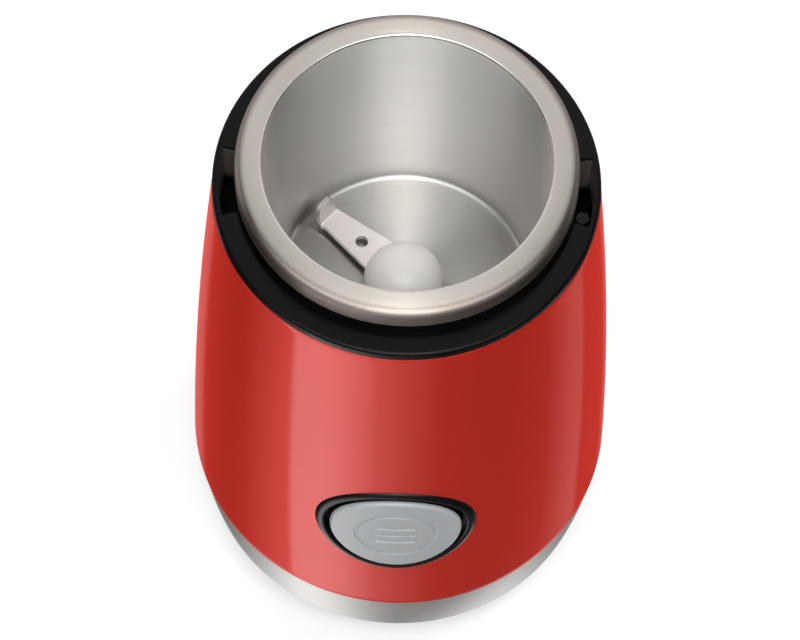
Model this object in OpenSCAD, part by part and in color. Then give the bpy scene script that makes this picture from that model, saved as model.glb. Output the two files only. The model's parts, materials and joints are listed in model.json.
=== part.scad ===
// Electric blade coffee grinder, lid taken off.
// Millimetres. The axis of the body is Z, the feet stand on Z = 0 and the button faces -Y.

/* [Body] */
// Height of the bowl's rim above the table
body_h = 162; // [155:0.5:172]
// Radius of the coloured shell at its top edge
shell_top_r = 46.7; // [46.2:0.1:48]
// Radius of the coloured shell at its foot
shell_foot_r = 54.05; // [53:0.05:57]
// How far the shell's side swells out past a straight taper
shell_bulge = 1.15; // [0.4:0.05:1.8]
// Wall of the coloured shell
shell_wall = 0.8; // [0.6:0.05:0.9]
// Drop from the rim down to the shell's top edge
shell_drop = 12.5; // [12:0.1:14]

/* [Base] */
// Height of the rubber feet under the steel band
foot_h = 2; // [1.5:0.1:3]
// Radius of one rubber foot
foot_r = 6; // [4.5:0.1:6.5]
// Distance of the feet's centres in from the band's foot edge
foot_in = 12.9; // [12:0.1:16]
// Height of the steel band
band_h = 20.8; // [19:0.1:23]
// How far the steel band sits back from the shell's foot
band_set = 0.55; // [0.15:0.05:0.75]
// How much the band narrows down to its foot
band_taper = 2.6; // [1.5:0.1:3.4]
// Swell of the band's side
band_bulge = 0.4; // [0.2:0.05:0.8]
// Sheet thickness of the band
band_wall = 0.8; // [0.6:0.05:1]
// Width of the band's turned-in hem
hem_w = 2; // [1.2:0.1:3]
// Wall of the bottom cover
cover_wall = 1.8; // [1.5:0.1:2.2]
// Floor thickness of the bottom cover
cover_floor = 2.5; // [2.2:0.1:3]
// Height of the spigot that centres the shell on the bottom cover
cover_spigot_h = 4; // [3:0.5:6]
// Height of the screw bosses above the cover's floor
boss_h = 3; // [2.5:0.5:5]
// Number of vent slots in the bottom cover
vents = 12; // [8:1:16]
// Width of a vent slot
vent_w = 3; // [2:0.1:3.4]
// Inner end of the vent slots
vent_in_r = 13; // [12:0.5:15]
// Outer end of the vent slots
vent_out_r = 25; // [20:0.5:27]

/* [Bowl] */
// Width of the rim from the bowl's wall to its outer edge
rim_w = 6.15; // [5.8:0.05:7]
// Depth of the grinding bowl, as a share of the body's height
bowl_share = 0.3975; // [0.38:0.0025:0.405]
// Sheet thickness of the bowl
bowl_wall = 0.6; // [0.5:0.05:0.8]
// How much the bowl's wall narrows down to its floor
bowl_taper = 3.2; // [1:0.1:4]
// Radius between the bowl's wall and floor
floor_round = 1.6; // [1:0.1:4]
// Radius of the bowl's lip where the wall turns out into the rim
lip_round = 1.2; // [0.9:0.1:2]
// How far the rolled rim sits back from the shell's top edge
rim_set = 5.55; // [5.3:0.05:5.7]
// Rounding of the rim's outer edge
rim_round = 1.8; // [1.2:0.1:2.4]
// Height of the rim's turned-down skirt
skirt_h = 6; // [5:0.1:7]
// Thickness of the rubber gasket under the rim
gasket_h = 1.2; // [0.8:0.1:1.6]

/* [Collar] */
// Drop from the rim to the collar's top face
collar_drop = 10; // [9.5:0.1:11]
// Thickness of the collar's top
collar_h = 2; // [1.6:0.1:2.2]
// Rounding of the collar's outer edge
collar_round = 0.9; // [0.5:0.1:1.2]
// Wall of the neck that carries the bowl
neck_wall = 2.4; // [2:0.1:2.6]
// Length of the neck under the collar's top
neck_len = 19.2; // [19:0.1:21]
// Height of the step ring round the neck
step_h = 0.35; // [0.2:0.05:0.6]
// Width of the groove between the neck and the step ring
step_w = 1.3; // [1:0.1:1.6]
// Length of the collar's spigot inside the shell
spigot_len = 5; // [4:0.5:7]
// Width of the narrow ledge between the neck and each pocket
pocket_set = 0.2; // [0.15:0.05:0.3]
// How far the lid lug pockets end inside the shell's top edge
pocket_edge = 1.6; // [1.55:0.05:1.8]
// Length of a lug pocket round the axis, in degrees
pocket_deg = 24; // [22:0.5:27]
// Turn of the two pockets towards the front, in degrees
pocket_swing = 2; // [0:0.5:4]
// Depth of a lug pocket
pocket_depth = 18; // [17:0.1:18.2]
// Wall at the ends and floor of a pocket
pocket_wall = 1.2; // [1:0.1:1.4]

/* [Blade] */
// Radius of the domed hub
hub_r = 9.95; // [9:0.05:11]
// Height of the dome over the blade
dome_h = 8.4; // [7:0.1:10]
// Sheet thickness of the blade
blade_t = 1.5; // [1.2:0.1:1.8]
// Gap from the bowl's floor to the underside of the blade
blade_gap = 1.8; // [1.6:0.1:2.4]
// Direction of the first wing, in degrees from +X
blade_turn = 140; // [0:1:359]
// Room between the wing's bend line and the foot of the bowl's wall
blade_clear = 5.6; // [5:0.1:9]
// Width of the wing at its bend line
tip_w = 5.8; // [4.5:0.1:7]
// Width of the wing at the hub
root_w = 10.1; // [8:0.1:12]
// Sideways set of the wing's tip from the wing's own axis
tip_set = 0.9; // [0:0.1:1.5]
// Sideways set of the wing's root
root_set = 1.2; // [0:0.1:1.5]
// Length of the turned-up tip
flap_len = 4.9; // [3:0.1:5.5]
// Lean of the turned-up tip from upright, in degrees
flap_lean = 20; // [5:1:30]
// Radius of the hole in each wing
wing_hole_r = 1.6; // [1:0.1:2]
// Place of the wing's hole between the hub's edge and the bend line, as a share
wing_hole_share = 0.305; // [0.22:0.005:0.42]

/* [Motor] */
// Radius of the motor shaft
shaft_r = 2.5; // [2:0.1:2.6]
// Running clearance of the shaft in its bearings
shaft_play = 0.05; // [0.02:0.01:0.1]
// Room between the stator stack and the chassis legs
motor_clear = 5.8; // [5:0.1:6.5]
// Depth of the stator stack, as a share of its width
stator_share = 0.772; // [0.74:0.002:0.8]
// Height of the stator stack, as a share of the motor room
stack_share = 0.2575; // [0.21:0.0025:0.28]
// Height of the stack over the bottom cover, as a share of the motor room
stack_up_share = 0.383; // [0.375:0.001:0.395]
// Radius of the armature core, as a share of the stator's width
armature_share = 0.263; // [0.246:0.001:0.264]
// Air gap between armature and stator
air_gap = 0.5; // [0.4:0.1:0.8]
// Number of armature slots
slots = 12; // [8:1:14]
// Radius of the commutator, as a share of the armature's
commutator_share = 0.6; // [0.54:0.01:0.61]
// Length of the commutator, as a share of the motor room
commutator_len_share = 0.123; // [0.105:0.001:0.128]
// Radius of the cooling fan, as a share of the stator's width
fan_share = 0.377; // [0.32:0.001:0.385]
// Height of the fan's blades, as a share of the motor room
fan_len_share = 0.088; // [0.07:0.001:0.094]
// Number of fan blades
fan_blades = 10; // [7:1:12]
// Height of the rubber dampers over the motor, as a share of the motor room
damper_share = 0.088; // [0.07:0.001:0.1]
// Radius of the rubber dampers
damper_r = 5; // [4:0.1:5.5]

/* [Button] */
// Drop from the chassis plate to the button's centre
button_hang = 25.7; // [25:0.1:27.5]
// Width of the bezel round the button
bezel_w = 3.7; // [3.5:0.1:5.3]
// How far the button stands out of the shell
button_proud = 1.4; // [1:0.1:1.8]
// Thickness of the grey cap on the button
cap_t = 1.2; // [1:0.1:1.6]
// Travel of the button
button_travel = 3; // [2:0.1:3]
// Outer radius of the button's bezel
bezel_r = 20.3; // [20:0.1:21]
// Width of the bezel's raised bead
bead_w = 2.5; // [1.8:0.1:2.8]
// How far the bead stands out of the shell
bead_proud = 0.8; // [0.4:0.1:1]
// Depth of the bezel's sunk ring under the shell's surface
bezel_sink = 1.6; // [1:0.1:2]
// Outer radius of the ring engraved on the button, as a share of the button's
ring_share = 0.6265; // [0.55:0.0005:0.72]
// Width of the engraved ring's line
ring_w = 0.7; // [0.5:0.1:1]
// Depth of the button's engraved lines
ring_depth = 0.5; // [0.3:0.05:0.7]

/* [Safety switch] */
// Radius of the plunger that the lid's lug presses
plunger_r = 1.6; // [1.4:0.05:1.7]
// How far the plunger stands above the pocket's floor
plunger_up = 5; // [4:0.5:6]
// Travel of the plunger
plunger_travel = 3; // [2:0.1:3.2]

/* [Hidden] */

$fn = 96;
// Overrun of every cut
cut = 1;
// Gap between neighbouring solids that do not touch
gap = 0.15;
// Slack of a screw in its clearance hole
screw_slack = 0.3;
// Slack of a part pressed or screwed into another
seat_slack = 0.05;

// Heights and radii of the shell, the band and the rim
shell_top_z = body_h - shell_drop;
rim_r = shell_top_r - rim_set;
bowl_r = rim_r - rim_w;
band_top_r = shell_foot_r - band_set;
band_foot_r = band_top_r - band_taper;
foot_place_r = band_foot_r - foot_in;
shell_foot_z = foot_h + band_h;
shell_len = shell_top_z - shell_foot_z;
// No point of the shell's outside lies farther out than this
shell_max_r = max(shell_top_r, shell_foot_r) + shell_bulge;
// Steps of the curved outlines
shell_steps = 14;
band_steps = 6;
round_steps = 8;

// Radius of the shell's outside at height z
function shell_r(z) =
    let (t = (shell_top_z - z) / shell_len)
    shell_top_r + (shell_foot_r - shell_top_r) * t + shell_bulge * 4 * t * (1 - t);
// Radius of the band's outside at height z
function band_r(z) =
    let (t = (shell_foot_z - z) / band_h)
    band_top_r + (band_foot_r - band_top_r) * t + band_bulge * 4 * t * (1 - t);
// Points of an arc
function arc(x, y, r, from, to, n = round_steps) =
    [for (i = [0:n]) let (a = from + (to - from) * i / n) [x + r * cos(a), y + r * sin(a)]];
// The same points the other way round
function back(list) = [for (i = [len(list) - 1:-1:0]) list[i]];
// Places on a circle
function polar(r, a) = [r * cos(a), r * sin(a)];

// A ring of rectangular section between two radii
module tube(r_out, r_in, z0, z1) {
    translate([0, 0, z0])
        difference() {
            cylinder(h = z1 - z0, r = r_out);
            translate([0, 0, -cut])
                cylinder(h = z1 - z0 + 2 * cut, r = r_in);
        }
}
// A part of a ring, centred on direction a
module ring_part(r_out, r_in, z0, z1, a, deg) {
    translate([0, 0, z0])
        rotate([0, 0, a - deg / 2])
            rotate_extrude(angle = deg)
                translate([r_in, 0])
                    square([r_out - r_in, z1 - z0]);
}
// A block centred on x and y
module block(w, d, z0, z1) {
    translate([-w / 2, -d / 2, z0])
        cube([w, d, z1 - z0]);
}
// A rod between two heights
module rod(r, z0, z1) {
    translate([0, 0, z0])
        cylinder(h = z1 - z0, r = r);
}
// A rod that lies along -Y at the button's height, from y0 inwards to y1 outwards
module front_rod(r, y0, y1) {
    translate([0, -y0, button_z])
        rotate([90, 0, 0])
            cylinder(h = y1 - y0, r = r);
}
// A machine screw with its head at the bottom and a cross recess
module screw(shank_r, shank_len, head_r, head_h) {
    difference() {
        union() {
            cylinder(h = head_h, r = head_r);
            cylinder(h = head_h + shank_len, r = shank_r);
        }
        for (a = [0, 90])
            rotate([0, 0, a])
                block(head_r * cross_share, head_r * cross_width_share, -cut, head_h * cross_depth_share);
    }
}
// Recess of a screw's head: length and width as shares of the head's radius, depth as a share of its height
cross_share = 1.2;
cross_width_share = 0.25;
cross_depth_share = 0.6;
// A spring wound round Z, as a tube swept along a helix
module coil(r, wire, turns, height) {
    steps = 14;
    sides = 6;
    n = turns * steps;
    ring = [for (i = [0:n], j = [0:sides - 1])
        let (
            a = 360 * i / steps,
            b = 360 * j / sides,
            q = r + wire / 2 * cos(b)
        )
        [q * cos(a), q * sin(a), wire / 2 * (1 + sin(b)) + (height - wire) * i / n]];
    side_faces = [for (i = [0:n - 1], j = [0:sides - 1], k = [0, 1])
        let (
            p = i * sides + j,
            q = i * sides + (j + 1) % sides
        )
        k == 0 ? [p, q, q + sides] : [p, q + sides, p + sides]];
    ends = [
        [for (j = [sides - 1:-1:0]) j],
        [for (j = [0:sides - 1]) n * sides + j]
    ];
    polyhedron(points = ring, faces = concat(side_faces, ends));
}

// Outer shell
module outer_shell() {
    outside = [for (i = [0:shell_steps])
        let (z = shell_foot_z + shell_len * i / shell_steps) [shell_r(z), z]];
    inside = [for (p = outside) [p.x - shell_wall, p.y]];
    color("firebrick")
        difference() {
            rotate_extrude()
                polygon(concat(outside, back(inside)));
            front_rod(bezel_r + gap, 0, shell_max_r + cut);
        }
}

// Steel band round the foot, with the cord inlet at a share of its height
inlet_share = 0.46;
inlet_z = foot_h + band_h * inlet_share;
// Cord bush: body, flange, flange thickness and hole
bush_r = 5;
bush_flange_r = 6.5;
bush_flange_t = 1.2;
cord_hole_r = 3.4;
module inlet_cut(r) {
    translate([0, 0, inlet_z])
        rotate([-90, 0, 0])
            cylinder(h = band_top_r + cut, r = r);
}
module base_band() {
    outside = [for (i = [0:band_steps])
        let (z = foot_h + band_h * i / band_steps) [band_r(z), z]];
    inside = [for (i = [0:band_steps])
        let (z = foot_h + band_wall + (band_h - band_wall) * i / band_steps) [band_r(z) - band_wall, z]];
    hem = [
        [band_foot_r - band_wall - hem_w, foot_h + band_wall],
        [band_foot_r - band_wall - hem_w, foot_h]
    ];
    color("silver")
        difference() {
            rotate_extrude()
                polygon(concat(outside, back(inside), hem));
            inlet_cut(bush_r + gap);
        }
}

// Bottom cover, feet and screws
cover_z = foot_h + band_wall;
cover_top_z = cover_z + cover_floor;
// Directions of the chassis legs and of the feet, in degrees
leg_angles = [25, 155, 205, 335];
foot_angles = [52, 128, 232, 308];
// Radius of a chassis leg, and its place in from the tighter of band and shell
leg_r = 3.8;
leg_in = 8.9;
leg_flare = 4.2;
// The legs stand inside the band below and the shell above, whichever is tighter
leg_place_r = min(band_foot_r, shell_top_r + leg_flare) - leg_in;
leg_x = leg_place_r * cos(leg_angles[0]);
// Screw bosses of the bottom cover and the screws in them
boss_r = 5.4;
screw_r = 1.5;
screw_head_r = 2.9;
screw_head_h = 1.8;
// Depth of the seat that holds each foot
foot_seat = 0.8;
// Posts that carry the cord clamp, and the clamp's bar
clamp_post_r = 3;
clamp_post_x = 7.6;
clamp_in = 10.9;
clamp_y = band_foot_r - clamp_in;
clamp_d = 6;
clamp_bar_h = 3;
clamp_post_z = inlet_z + cord_hole_r;
leg_z = cover_top_z + boss_h;
module vent_slot() {
    long = vent_out_r - vent_in_r - vent_w;
    translate([vent_in_r + vent_w / 2, 0, cover_z - cut]) {
        for (x = [0, long])
            translate([x, 0, 0])
                cylinder(h = cover_floor + 2 * cut, d = vent_w);
        translate([0, -vent_w / 2, 0])
            cube([long, vent_w, cover_floor + 2 * cut]);
    }
}
module bottom_cover() {
    wall_top = shell_foot_z + cover_spigot_h;
    outside = [for (i = [0:band_steps])
        let (z = cover_z + (shell_foot_z - cover_z) * i / band_steps) [band_r(z) - band_wall - gap, z]];
    spigot_foot_r = shell_foot_r - shell_wall - 2 * gap;
    spigot_r = shell_r(wall_top) - shell_wall - 2 * gap;
    inside = [
        [spigot_r, wall_top],
        [spigot_r - cover_wall, wall_top],
        [spigot_foot_r - cover_wall, shell_foot_z],
        [band_r(cover_top_z) - band_wall - cover_wall, cover_top_z],
        [0, cover_top_z],
        [0, cover_z]
    ];
    color("dimgray")
        difference() {
            union() {
                rotate_extrude()
                    polygon(concat(outside, inside));
                for (a = leg_angles)
                    translate(polar(leg_place_r, a))
                        rod(boss_r, cover_z, leg_z);
                for (x = [-clamp_post_x, clamp_post_x])
                    translate([x, clamp_y, 0])
                        rod(clamp_post_r, cover_z, clamp_post_z);
            }
            for (a = leg_angles)
                translate(polar(leg_place_r, a)) {
                    rod(screw_head_r + screw_slack, cover_z - cut, cover_z + screw_head_h + screw_slack);
                    rod(screw_r + screw_slack, cover_z, leg_z + cut);
                }
            for (a = foot_angles)
                translate(polar(foot_place_r, a))
                    rod(foot_r + gap, cover_z - cut, cover_z + foot_seat);
            for (x = [-clamp_post_x, clamp_post_x])
                translate([x, clamp_y, 0])
                    rod(clamp_screw_r + seat_slack, cover_top_z, clamp_post_z + cut);
            for (i = [0:vents - 1])
                rotate([0, 0, 360 * i / vents])
                    vent_slot();
            inlet_cut(bush_r + gap);
        }
}
module rubber_feet() {
    edge = foot_r * foot_edge_share;
    top = cover_z + foot_seat;
    color("black")
        for (a = foot_angles)
            translate(polar(foot_place_r, a))
                rotate_extrude()
                    polygon([[0, 0], [foot_r - edge, 0], [foot_r, edge], [foot_r, top], [0, top]]);
}
// Bevel of a foot, as a share of its radius
foot_edge_share = 0.12;
bottom_screw_len = 12;
module bottom_screws() {
    color("gray")
        for (a = leg_angles)
            translate(polar(leg_place_r, a))
                translate([0, 0, cover_z + screw_slack])
                    screw(screw_r, bottom_screw_len, screw_head_r, screw_head_h);
}

// Grinding bowl, gasket and seal
floor_z = body_h * (1 - bowl_share);
// Hole in the bowl's floor for the shaft seal
seal_hole_r = 7;
module grinding_bowl() {
    lip_x = bowl_r + lip_round;
    rim_x = rim_r - rim_round;
    skirt_z = body_h - skirt_h;
    foot_x = bowl_r - bowl_taper - floor_round;
    lean = atan(bowl_taper / (body_h - lip_round - floor_z - floor_round));
    face = concat(
        [[seal_hole_r, floor_z]],
        arc(foot_x, floor_z + floor_round, floor_round, -90, -lean),
        arc(lip_x, body_h - lip_round, lip_round, 180 - lean, 90),
        arc(rim_x, body_h - rim_round, rim_round, 90, 0),
        [[rim_r, skirt_z], [rim_r - bowl_wall, skirt_z]]
    );
    rear = concat(
        arc(rim_x, body_h - rim_round, rim_round - bowl_wall, 0, 90),
        arc(lip_x, body_h - lip_round, lip_round - bowl_wall, 90, 180 - lean),
        arc(foot_x, floor_z + floor_round, floor_round + bowl_wall, -lean, -90),
        [[seal_hole_r, floor_z - bowl_wall]]
    );
    color("lightgray")
        rotate_extrude()
            polygon(concat(face, rear));
}
// The neck fills the rolled rim from inside
neck_out_r = rim_r - bowl_wall - gap;
neck_in_r = neck_out_r - neck_wall;
// The lug pockets lie between the neck and the shell's top edge
pocket_in_r = neck_out_r + pocket_set;
pocket_out_r = shell_top_r - pocket_edge;
seat_z = body_h - bowl_wall - gasket_h;
module bowl_gasket() {
    color("dimgray")
        tube(rim_r - rim_round, neck_in_r, seat_z, body_h - bowl_wall);
}
// Shaft seal: flange under the bowl and lip above its floor
seal_flange_r = 10.5;
seal_flange_h = 2.6;
seal_up = 0.4;
module shaft_seal() {
    seal_z = floor_z - bowl_wall - seal_flange_h;
    color("black")
        difference() {
            union() {
                rod(seal_flange_r, seal_z, floor_z - bowl_wall);
                rod(seal_hole_r - gap, seal_z, floor_z + seal_up);
            }
            rod(shaft_r + 2 * gap, seal_z - cut, floor_z + seal_up + cut);
        }
}

// Collar with the two lug pockets
collar_z = body_h - collar_drop;
collar_edge_r = shell_top_r;
neck_z = collar_z - neck_len;
pocket_floor_z = collar_z - pocket_depth;
pocket_angles = [-pocket_swing, 180 + pocket_swing];
// Screws that hold the collar on the chassis
collar_screw_angles = [90, 215, 325];
collar_screw_out = 2.1;
collar_screw_place_r = neck_out_r + collar_screw_out;
collar_boss_r = 3;
collar_screw_r = 1.2;
collar_screw_head_r = 2.2;
collar_screw_head_h = 1.6;
collar_screw_len = 11;
module collar() {
    spigot_r = shell_top_r - shell_wall - gap;
    step_r = neck_out_r + step_w;
    under_z = collar_z - collar_h;
    profile = concat(
        [
            [neck_in_r, neck_z],
            [neck_in_r + neck_wall - gap, neck_z],
            [neck_in_r + neck_wall - gap, under_z],
            [spigot_r - collar_h / 2, under_z],
            [spigot_r - collar_h / 2, shell_top_z - spigot_len],
            [spigot_r, shell_top_z - spigot_len],
            [spigot_r, shell_top_z],
            [collar_edge_r, shell_top_z]
        ],
        arc(collar_edge_r - collar_round, collar_z - collar_round, collar_round, 0, 90),
        [
            [step_r, collar_z + step_h],
            [step_r, collar_z],
            [neck_out_r, collar_z],
            [neck_out_r, seat_z],
            [neck_in_r, seat_z]
        ]
    );
    wall_deg = pocket_wall / pocket_in_r * 180 / PI;
    color("black")
        difference() {
            union() {
                rotate_extrude()
                    polygon(profile);
                for (a = pocket_angles)
                    ring_part(
                        spigot_r - gap, neck_in_r + gap, pocket_floor_z - pocket_wall, under_z + collar_h / 2,
                        a, pocket_deg + 2 * wall_deg
                    );
                for (a = collar_screw_angles)
                    translate(polar(collar_screw_place_r, a))
                        rod(collar_boss_r, neck_z, under_z + collar_h / 2);
            }
            for (a = pocket_angles)
                ring_part(pocket_out_r, pocket_in_r, pocket_floor_z, collar_z + cut, a, pocket_deg);
            rotate([0, 0, pocket_angles[0]])
                translate([plunger_place_r, 0, 0])
                    rod(plunger_r + shaft_play, neck_z - cut, pocket_floor_z + cut);
            for (a = collar_screw_angles)
                translate(polar(collar_screw_place_r, a))
                    rod(collar_screw_r + seat_slack, neck_z - cut, neck_z + collar_screw_len);
        }
}
module collar_screws() {
    color("gray")
        for (a = collar_screw_angles)
            translate(polar(collar_screw_place_r, a))
                translate([0, 0, neck_z - chassis_top_h - collar_screw_head_h])
                    screw(collar_screw_r, collar_screw_len, collar_screw_head_r, collar_screw_head_h);
}

// Chassis that carries the motor, the collar and the switches
chassis_plate_h = 3;
chassis_wall = 1.7;
sleeve_in_r = neck_in_r + gap;
sleeve_out_r = sleeve_in_r + chassis_wall;
chassis_edge = 0.2;
chassis_r = max(leg_place_r + leg_r, sleeve_out_r) + chassis_edge;
chassis_top_h = 2.5;
chassis_boss_h = 0.7;
chassis_z = floor_z - bowl_wall - seal_flange_h - chassis_boss_h - chassis_plate_h;
chassis_boss_r = 12;
chassis_hole_r = 7.5;
chassis_top_in = 1.5;
chassis_top_r = shell_top_r - chassis_top_in;
// Shelf that the safety switch hangs from
shelf_deg = 34;
shelf_drop = 14.2;
shelf_z = neck_z - shelf_drop;
shelf_h = 2.4;
// Ribs between the plate and the sleeve
ribs = 8;
rib_w = 1.6;
rib_h = 14;
// Tongue that the button's bezel is fixed to
hanger_w = 14;
hanger_d = 4;
// Screws that hang the motor on the chassis
mount_screw_r = 1.6;
mount_head_r = 3.2;
mount_head_h = 1.8;
module chassis() {
    plate_top = chassis_z + chassis_plate_h;
    color("whitesmoke")
        difference() {
            union() {
                rod(chassis_r, chassis_z, plate_top);
                rod(chassis_boss_r, chassis_z, plate_top + chassis_boss_h);
                tube(sleeve_out_r, sleeve_in_r, chassis_z, neck_z);
                for (a = collar_screw_angles)
                    ring_part(chassis_top_r, sleeve_in_r + chassis_wall / 2, neck_z - chassis_top_h, neck_z,
                        a, pocket_deg);
                ring_part(chassis_top_r, sleeve_in_r + chassis_wall / 2, shelf_z - shelf_h, shelf_z,
                    pocket_angles[0], shelf_deg);
                for (i = [0:ribs - 1])
                    rotate([0, 0, 360 * (i + rib_turn_share) / ribs])
                        translate([sleeve_in_r + chassis_wall / 2, -rib_w / 2, chassis_z])
                            cube([chassis_r - sleeve_in_r - chassis_wall, rib_w, rib_h]);
                for (a = leg_angles)
                    translate(polar(leg_place_r, a))
                        rod(leg_r, leg_z, plate_top);
                translate([0, -hanger_y, 0])
                    block(hanger_w, hanger_d, bezel_lug_z, plate_top);
            }
            rod(chassis_hole_r, chassis_z - cut, plate_top + chassis_boss_h + cut);
            for (a = leg_angles)
                translate(polar(leg_place_r, a))
                    rod(screw_r + seat_slack, leg_z - cut, leg_z + bottom_screw_len);
            for (x = [-mount_x, mount_x])
                translate([x, 0, 0])
                    rod(mount_screw_r + screw_slack, chassis_z - cut, plate_top + cut);
            for (a = collar_screw_angles)
                translate(polar(collar_screw_place_r, a))
                    rod(collar_screw_r + screw_slack, neck_z - chassis_top_h - cut, neck_z + cut);
            rotate([0, 0, pocket_angles[0]])
                translate([plunger_place_r, 0, 0])
                    rod(plunger_r + shaft_play, shelf_z - shelf_h - cut, shelf_z + cut);
        }
}
rib_turn_share = 0.5;

// Motor, sized from the room between the bottom cover and the chassis
motor_room = chassis_z - cover_top_z;
stack_z = cover_top_z + motor_room * stack_up_share;
stack_h = motor_room * stack_share;
stack_top_z = stack_z + stack_h;
stator_w = 2 * (leg_x - leg_r - motor_clear);
stator_d = stator_w * stator_share;
// Sections of the stator, as shares of its width
yoke_share = 0.378;
pole_share = 0.29;
pole_half_share = 0.167;
coil_half_share = 0.2635;
bolt_share = 0.457;
bracket_share = 0.316;
yoke_x = stator_w * yoke_share;
pole_x = stator_w * pole_share;
pole_y = stator_w * pole_half_share;
coil_y = stator_w * coil_half_share;
bolt_x = stator_w * bolt_share;
bolt_r = 1.5;
mount_x = (chassis_boss_r + bolt_x) / 2;
armature_r = stator_w * armature_share;
commutator_r = armature_r * commutator_share;
// Brackets that hold the shaft's bearings
leg_w = 5;
bracket_d = stator_w * bracket_share;
bracket_h = 3;
bracket_boss_r = 8;
bearing_r = 6;
// Height of a bearing, as a share of the motor room
bearing_share = 0.07;
bearing_h = motor_room * bearing_share;
damper_h = motor_room * damper_share;
upper_bracket_z = chassis_z - damper_h - bracket_h;
// Drop from the stack to the lower bracket, as a share of the motor room
lower_drop_share = 0.3045;
lower_bracket_z = stack_z - motor_room * lower_drop_share;
// Cut of the stack's corners
corner_r = 6;
module stack_outline() {
    intersection() {
        square([stator_w, stator_d], center = true);
        circle(r = stator_w / 2 + corner_r / 3);
    }
}
module stator_core() {
    color("slategray")
        difference() {
            translate([0, 0, stack_z])
                linear_extrude(stack_h)
                    difference() {
                        stack_outline();
                        circle(r = armature_r + air_gap);
                        for (s = [-1, 1])
                            translate([-yoke_x, s > 0 ? pole_y : -coil_y])
                                square([2 * yoke_x, coil_y - pole_y]);
                    }
            for (s = [-1, 1])
                translate([s * bolt_x, 0, 0])
                    rod(bolt_r + gap, stack_z - cut, stack_top_z + cut);
        }
}
// How far the field coils stand past the stack, as a share of the motor room
coil_over_share = 0.0585;
coil_over = motor_room * coil_over_share;
module field_coils() {
    outer_y = coil_y - gap;
    inner_y = pole_y + gap;
    low = stack_z - coil_over;
    high = stack_top_z + coil_over;
    color("peru")
        for (s = [-1, 1])
            translate([s * (pole_x + yoke_x) / 2, 0, 0])
                difference() {
                    block(yoke_x - pole_x - 2 * gap, 2 * outer_y, low, high);
                    block(yoke_x, 2 * inner_y, stack_z - gap, stack_top_z + gap);
                }
}
module upper_bracket() {
    top = upper_bracket_z + bracket_h;
    color("darkgray")
        difference() {
            union() {
                block(2 * bolt_x + leg_w, bracket_d, upper_bracket_z, top);
                rod(bracket_boss_r, top - bearing_h, top);
                for (s = [-1, 1])
                    translate([s * bolt_x, 0, 0])
                        block(leg_w, bracket_d, stack_top_z, top);
            }
            rod(bearing_r + seat_slack, top - bearing_h - cut, top + cut);
            for (s = [-1, 1]) {
                translate([s * bolt_x, 0, 0])
                    rod(bolt_r + gap, stack_top_z - cut, top - bracket_h / 2);
                translate([s * mount_x, 0, 0])
                    rod(mount_screw_r + seat_slack, upper_bracket_z - cut, top + cut);
            }
        }
}
// Brush holders: side and drop as shares of the motor room, outer end as a share of the stator's width
holder_share = 0.082;
holder_drop_share = 0.1875;
holder_end_share = 0.4215;
holder_w = motor_room * holder_share;
holder_z = stack_z - motor_room * holder_drop_share;
holder_wall = 0.9;
holder_end = stator_w * holder_end_share;
// Gap between holder and commutator
brush_gap = 0.2;
brush_start = commutator_r + brush_gap;
// Length of a new brush, as a share of the room in its holder
brush_share = 0.608;
brush_len = (holder_end - brush_start) * brush_share;
module lower_bracket() {
    top = lower_bracket_z + bracket_h;
    color("ivory")
        difference() {
            union() {
                block(2 * bolt_x + leg_w, bracket_d, lower_bracket_z, top);
                block(holder_w + 2 * bracket_h, 2 * holder_end, lower_bracket_z, top);
                rod(bracket_boss_r, lower_bracket_z, lower_bracket_z + bearing_h);
                for (s = [-1, 1]) {
                    translate([s * bolt_x, 0, 0])
                        block(leg_w, bracket_d, lower_bracket_z, stack_z);
                    translate([0, s * (holder_end - holder_w / 2), 0])
                        block(holder_w, holder_w, lower_bracket_z, holder_z);
                }
            }
            rod(bearing_r + seat_slack, lower_bracket_z - cut, lower_bracket_z + bearing_h + cut);
            for (s = [-1, 1])
                translate([s * bolt_x, 0, 0])
                    rod(bolt_r + gap, lower_bracket_z - cut, stack_z + cut);
        }
}
module bearing(z) {
    tube(bearing_r, shaft_r + shaft_play, z, z + bearing_h);
}
module upper_bearing() {
    color("goldenrod")
        bearing(upper_bracket_z + bracket_h - bearing_h);
}
module lower_bearing() {
    color("goldenrod")
        bearing(lower_bracket_z);
}
module bracket_screws() {
    long = upper_bracket_z + bracket_h / 3 - lower_bracket_z;
    color("gray")
        for (s = [-1, 1])
            translate([s * bolt_x, 0, lower_bracket_z - screw_head_h])
                screw(bolt_r, long, screw_head_r, screw_head_h);
}
module motor_dampers() {
    color("black")
        for (s = [-1, 1])
            translate([s * mount_x, 0, 0])
                tube(damper_r, mount_screw_r + screw_slack, chassis_z - damper_h, chassis_z);
}
module motor_screws() {
    head_top = chassis_z + chassis_plate_h + mount_head_h;
    color("gray")
        for (s = [-1, 1])
            translate([s * mount_x, 0, head_top])
                rotate([180, 0, 0])
                    screw(mount_screw_r, chassis_plate_h + damper_h + bracket_h, mount_head_r, mount_head_h);
}
module front_block(w, h, y0, y1, z) {
    translate([-w / 2, y0, z])
        cube([w, y1 - y0, h]);
}
module brush_holders() {
    color("gold")
        for (a = [0, 180])
            rotate([0, 0, a])
                difference() {
                    front_block(holder_w, holder_w, brush_start + brush_gap, holder_end, holder_z);
                    front_block(holder_w - 2 * holder_wall, holder_w - 2 * holder_wall,
                        0, holder_end - holder_wall, holder_z + holder_wall);
                }
}
brush_side = holder_w - 2 * holder_wall - 2 * gap;
module carbon_brushes() {
    color("darkslategray")
        for (a = [0, 180])
            rotate([0, 0, a])
                front_block(brush_side, brush_side, brush_start, brush_start + brush_len,
                    holder_z + holder_wall + gap);
}
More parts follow.
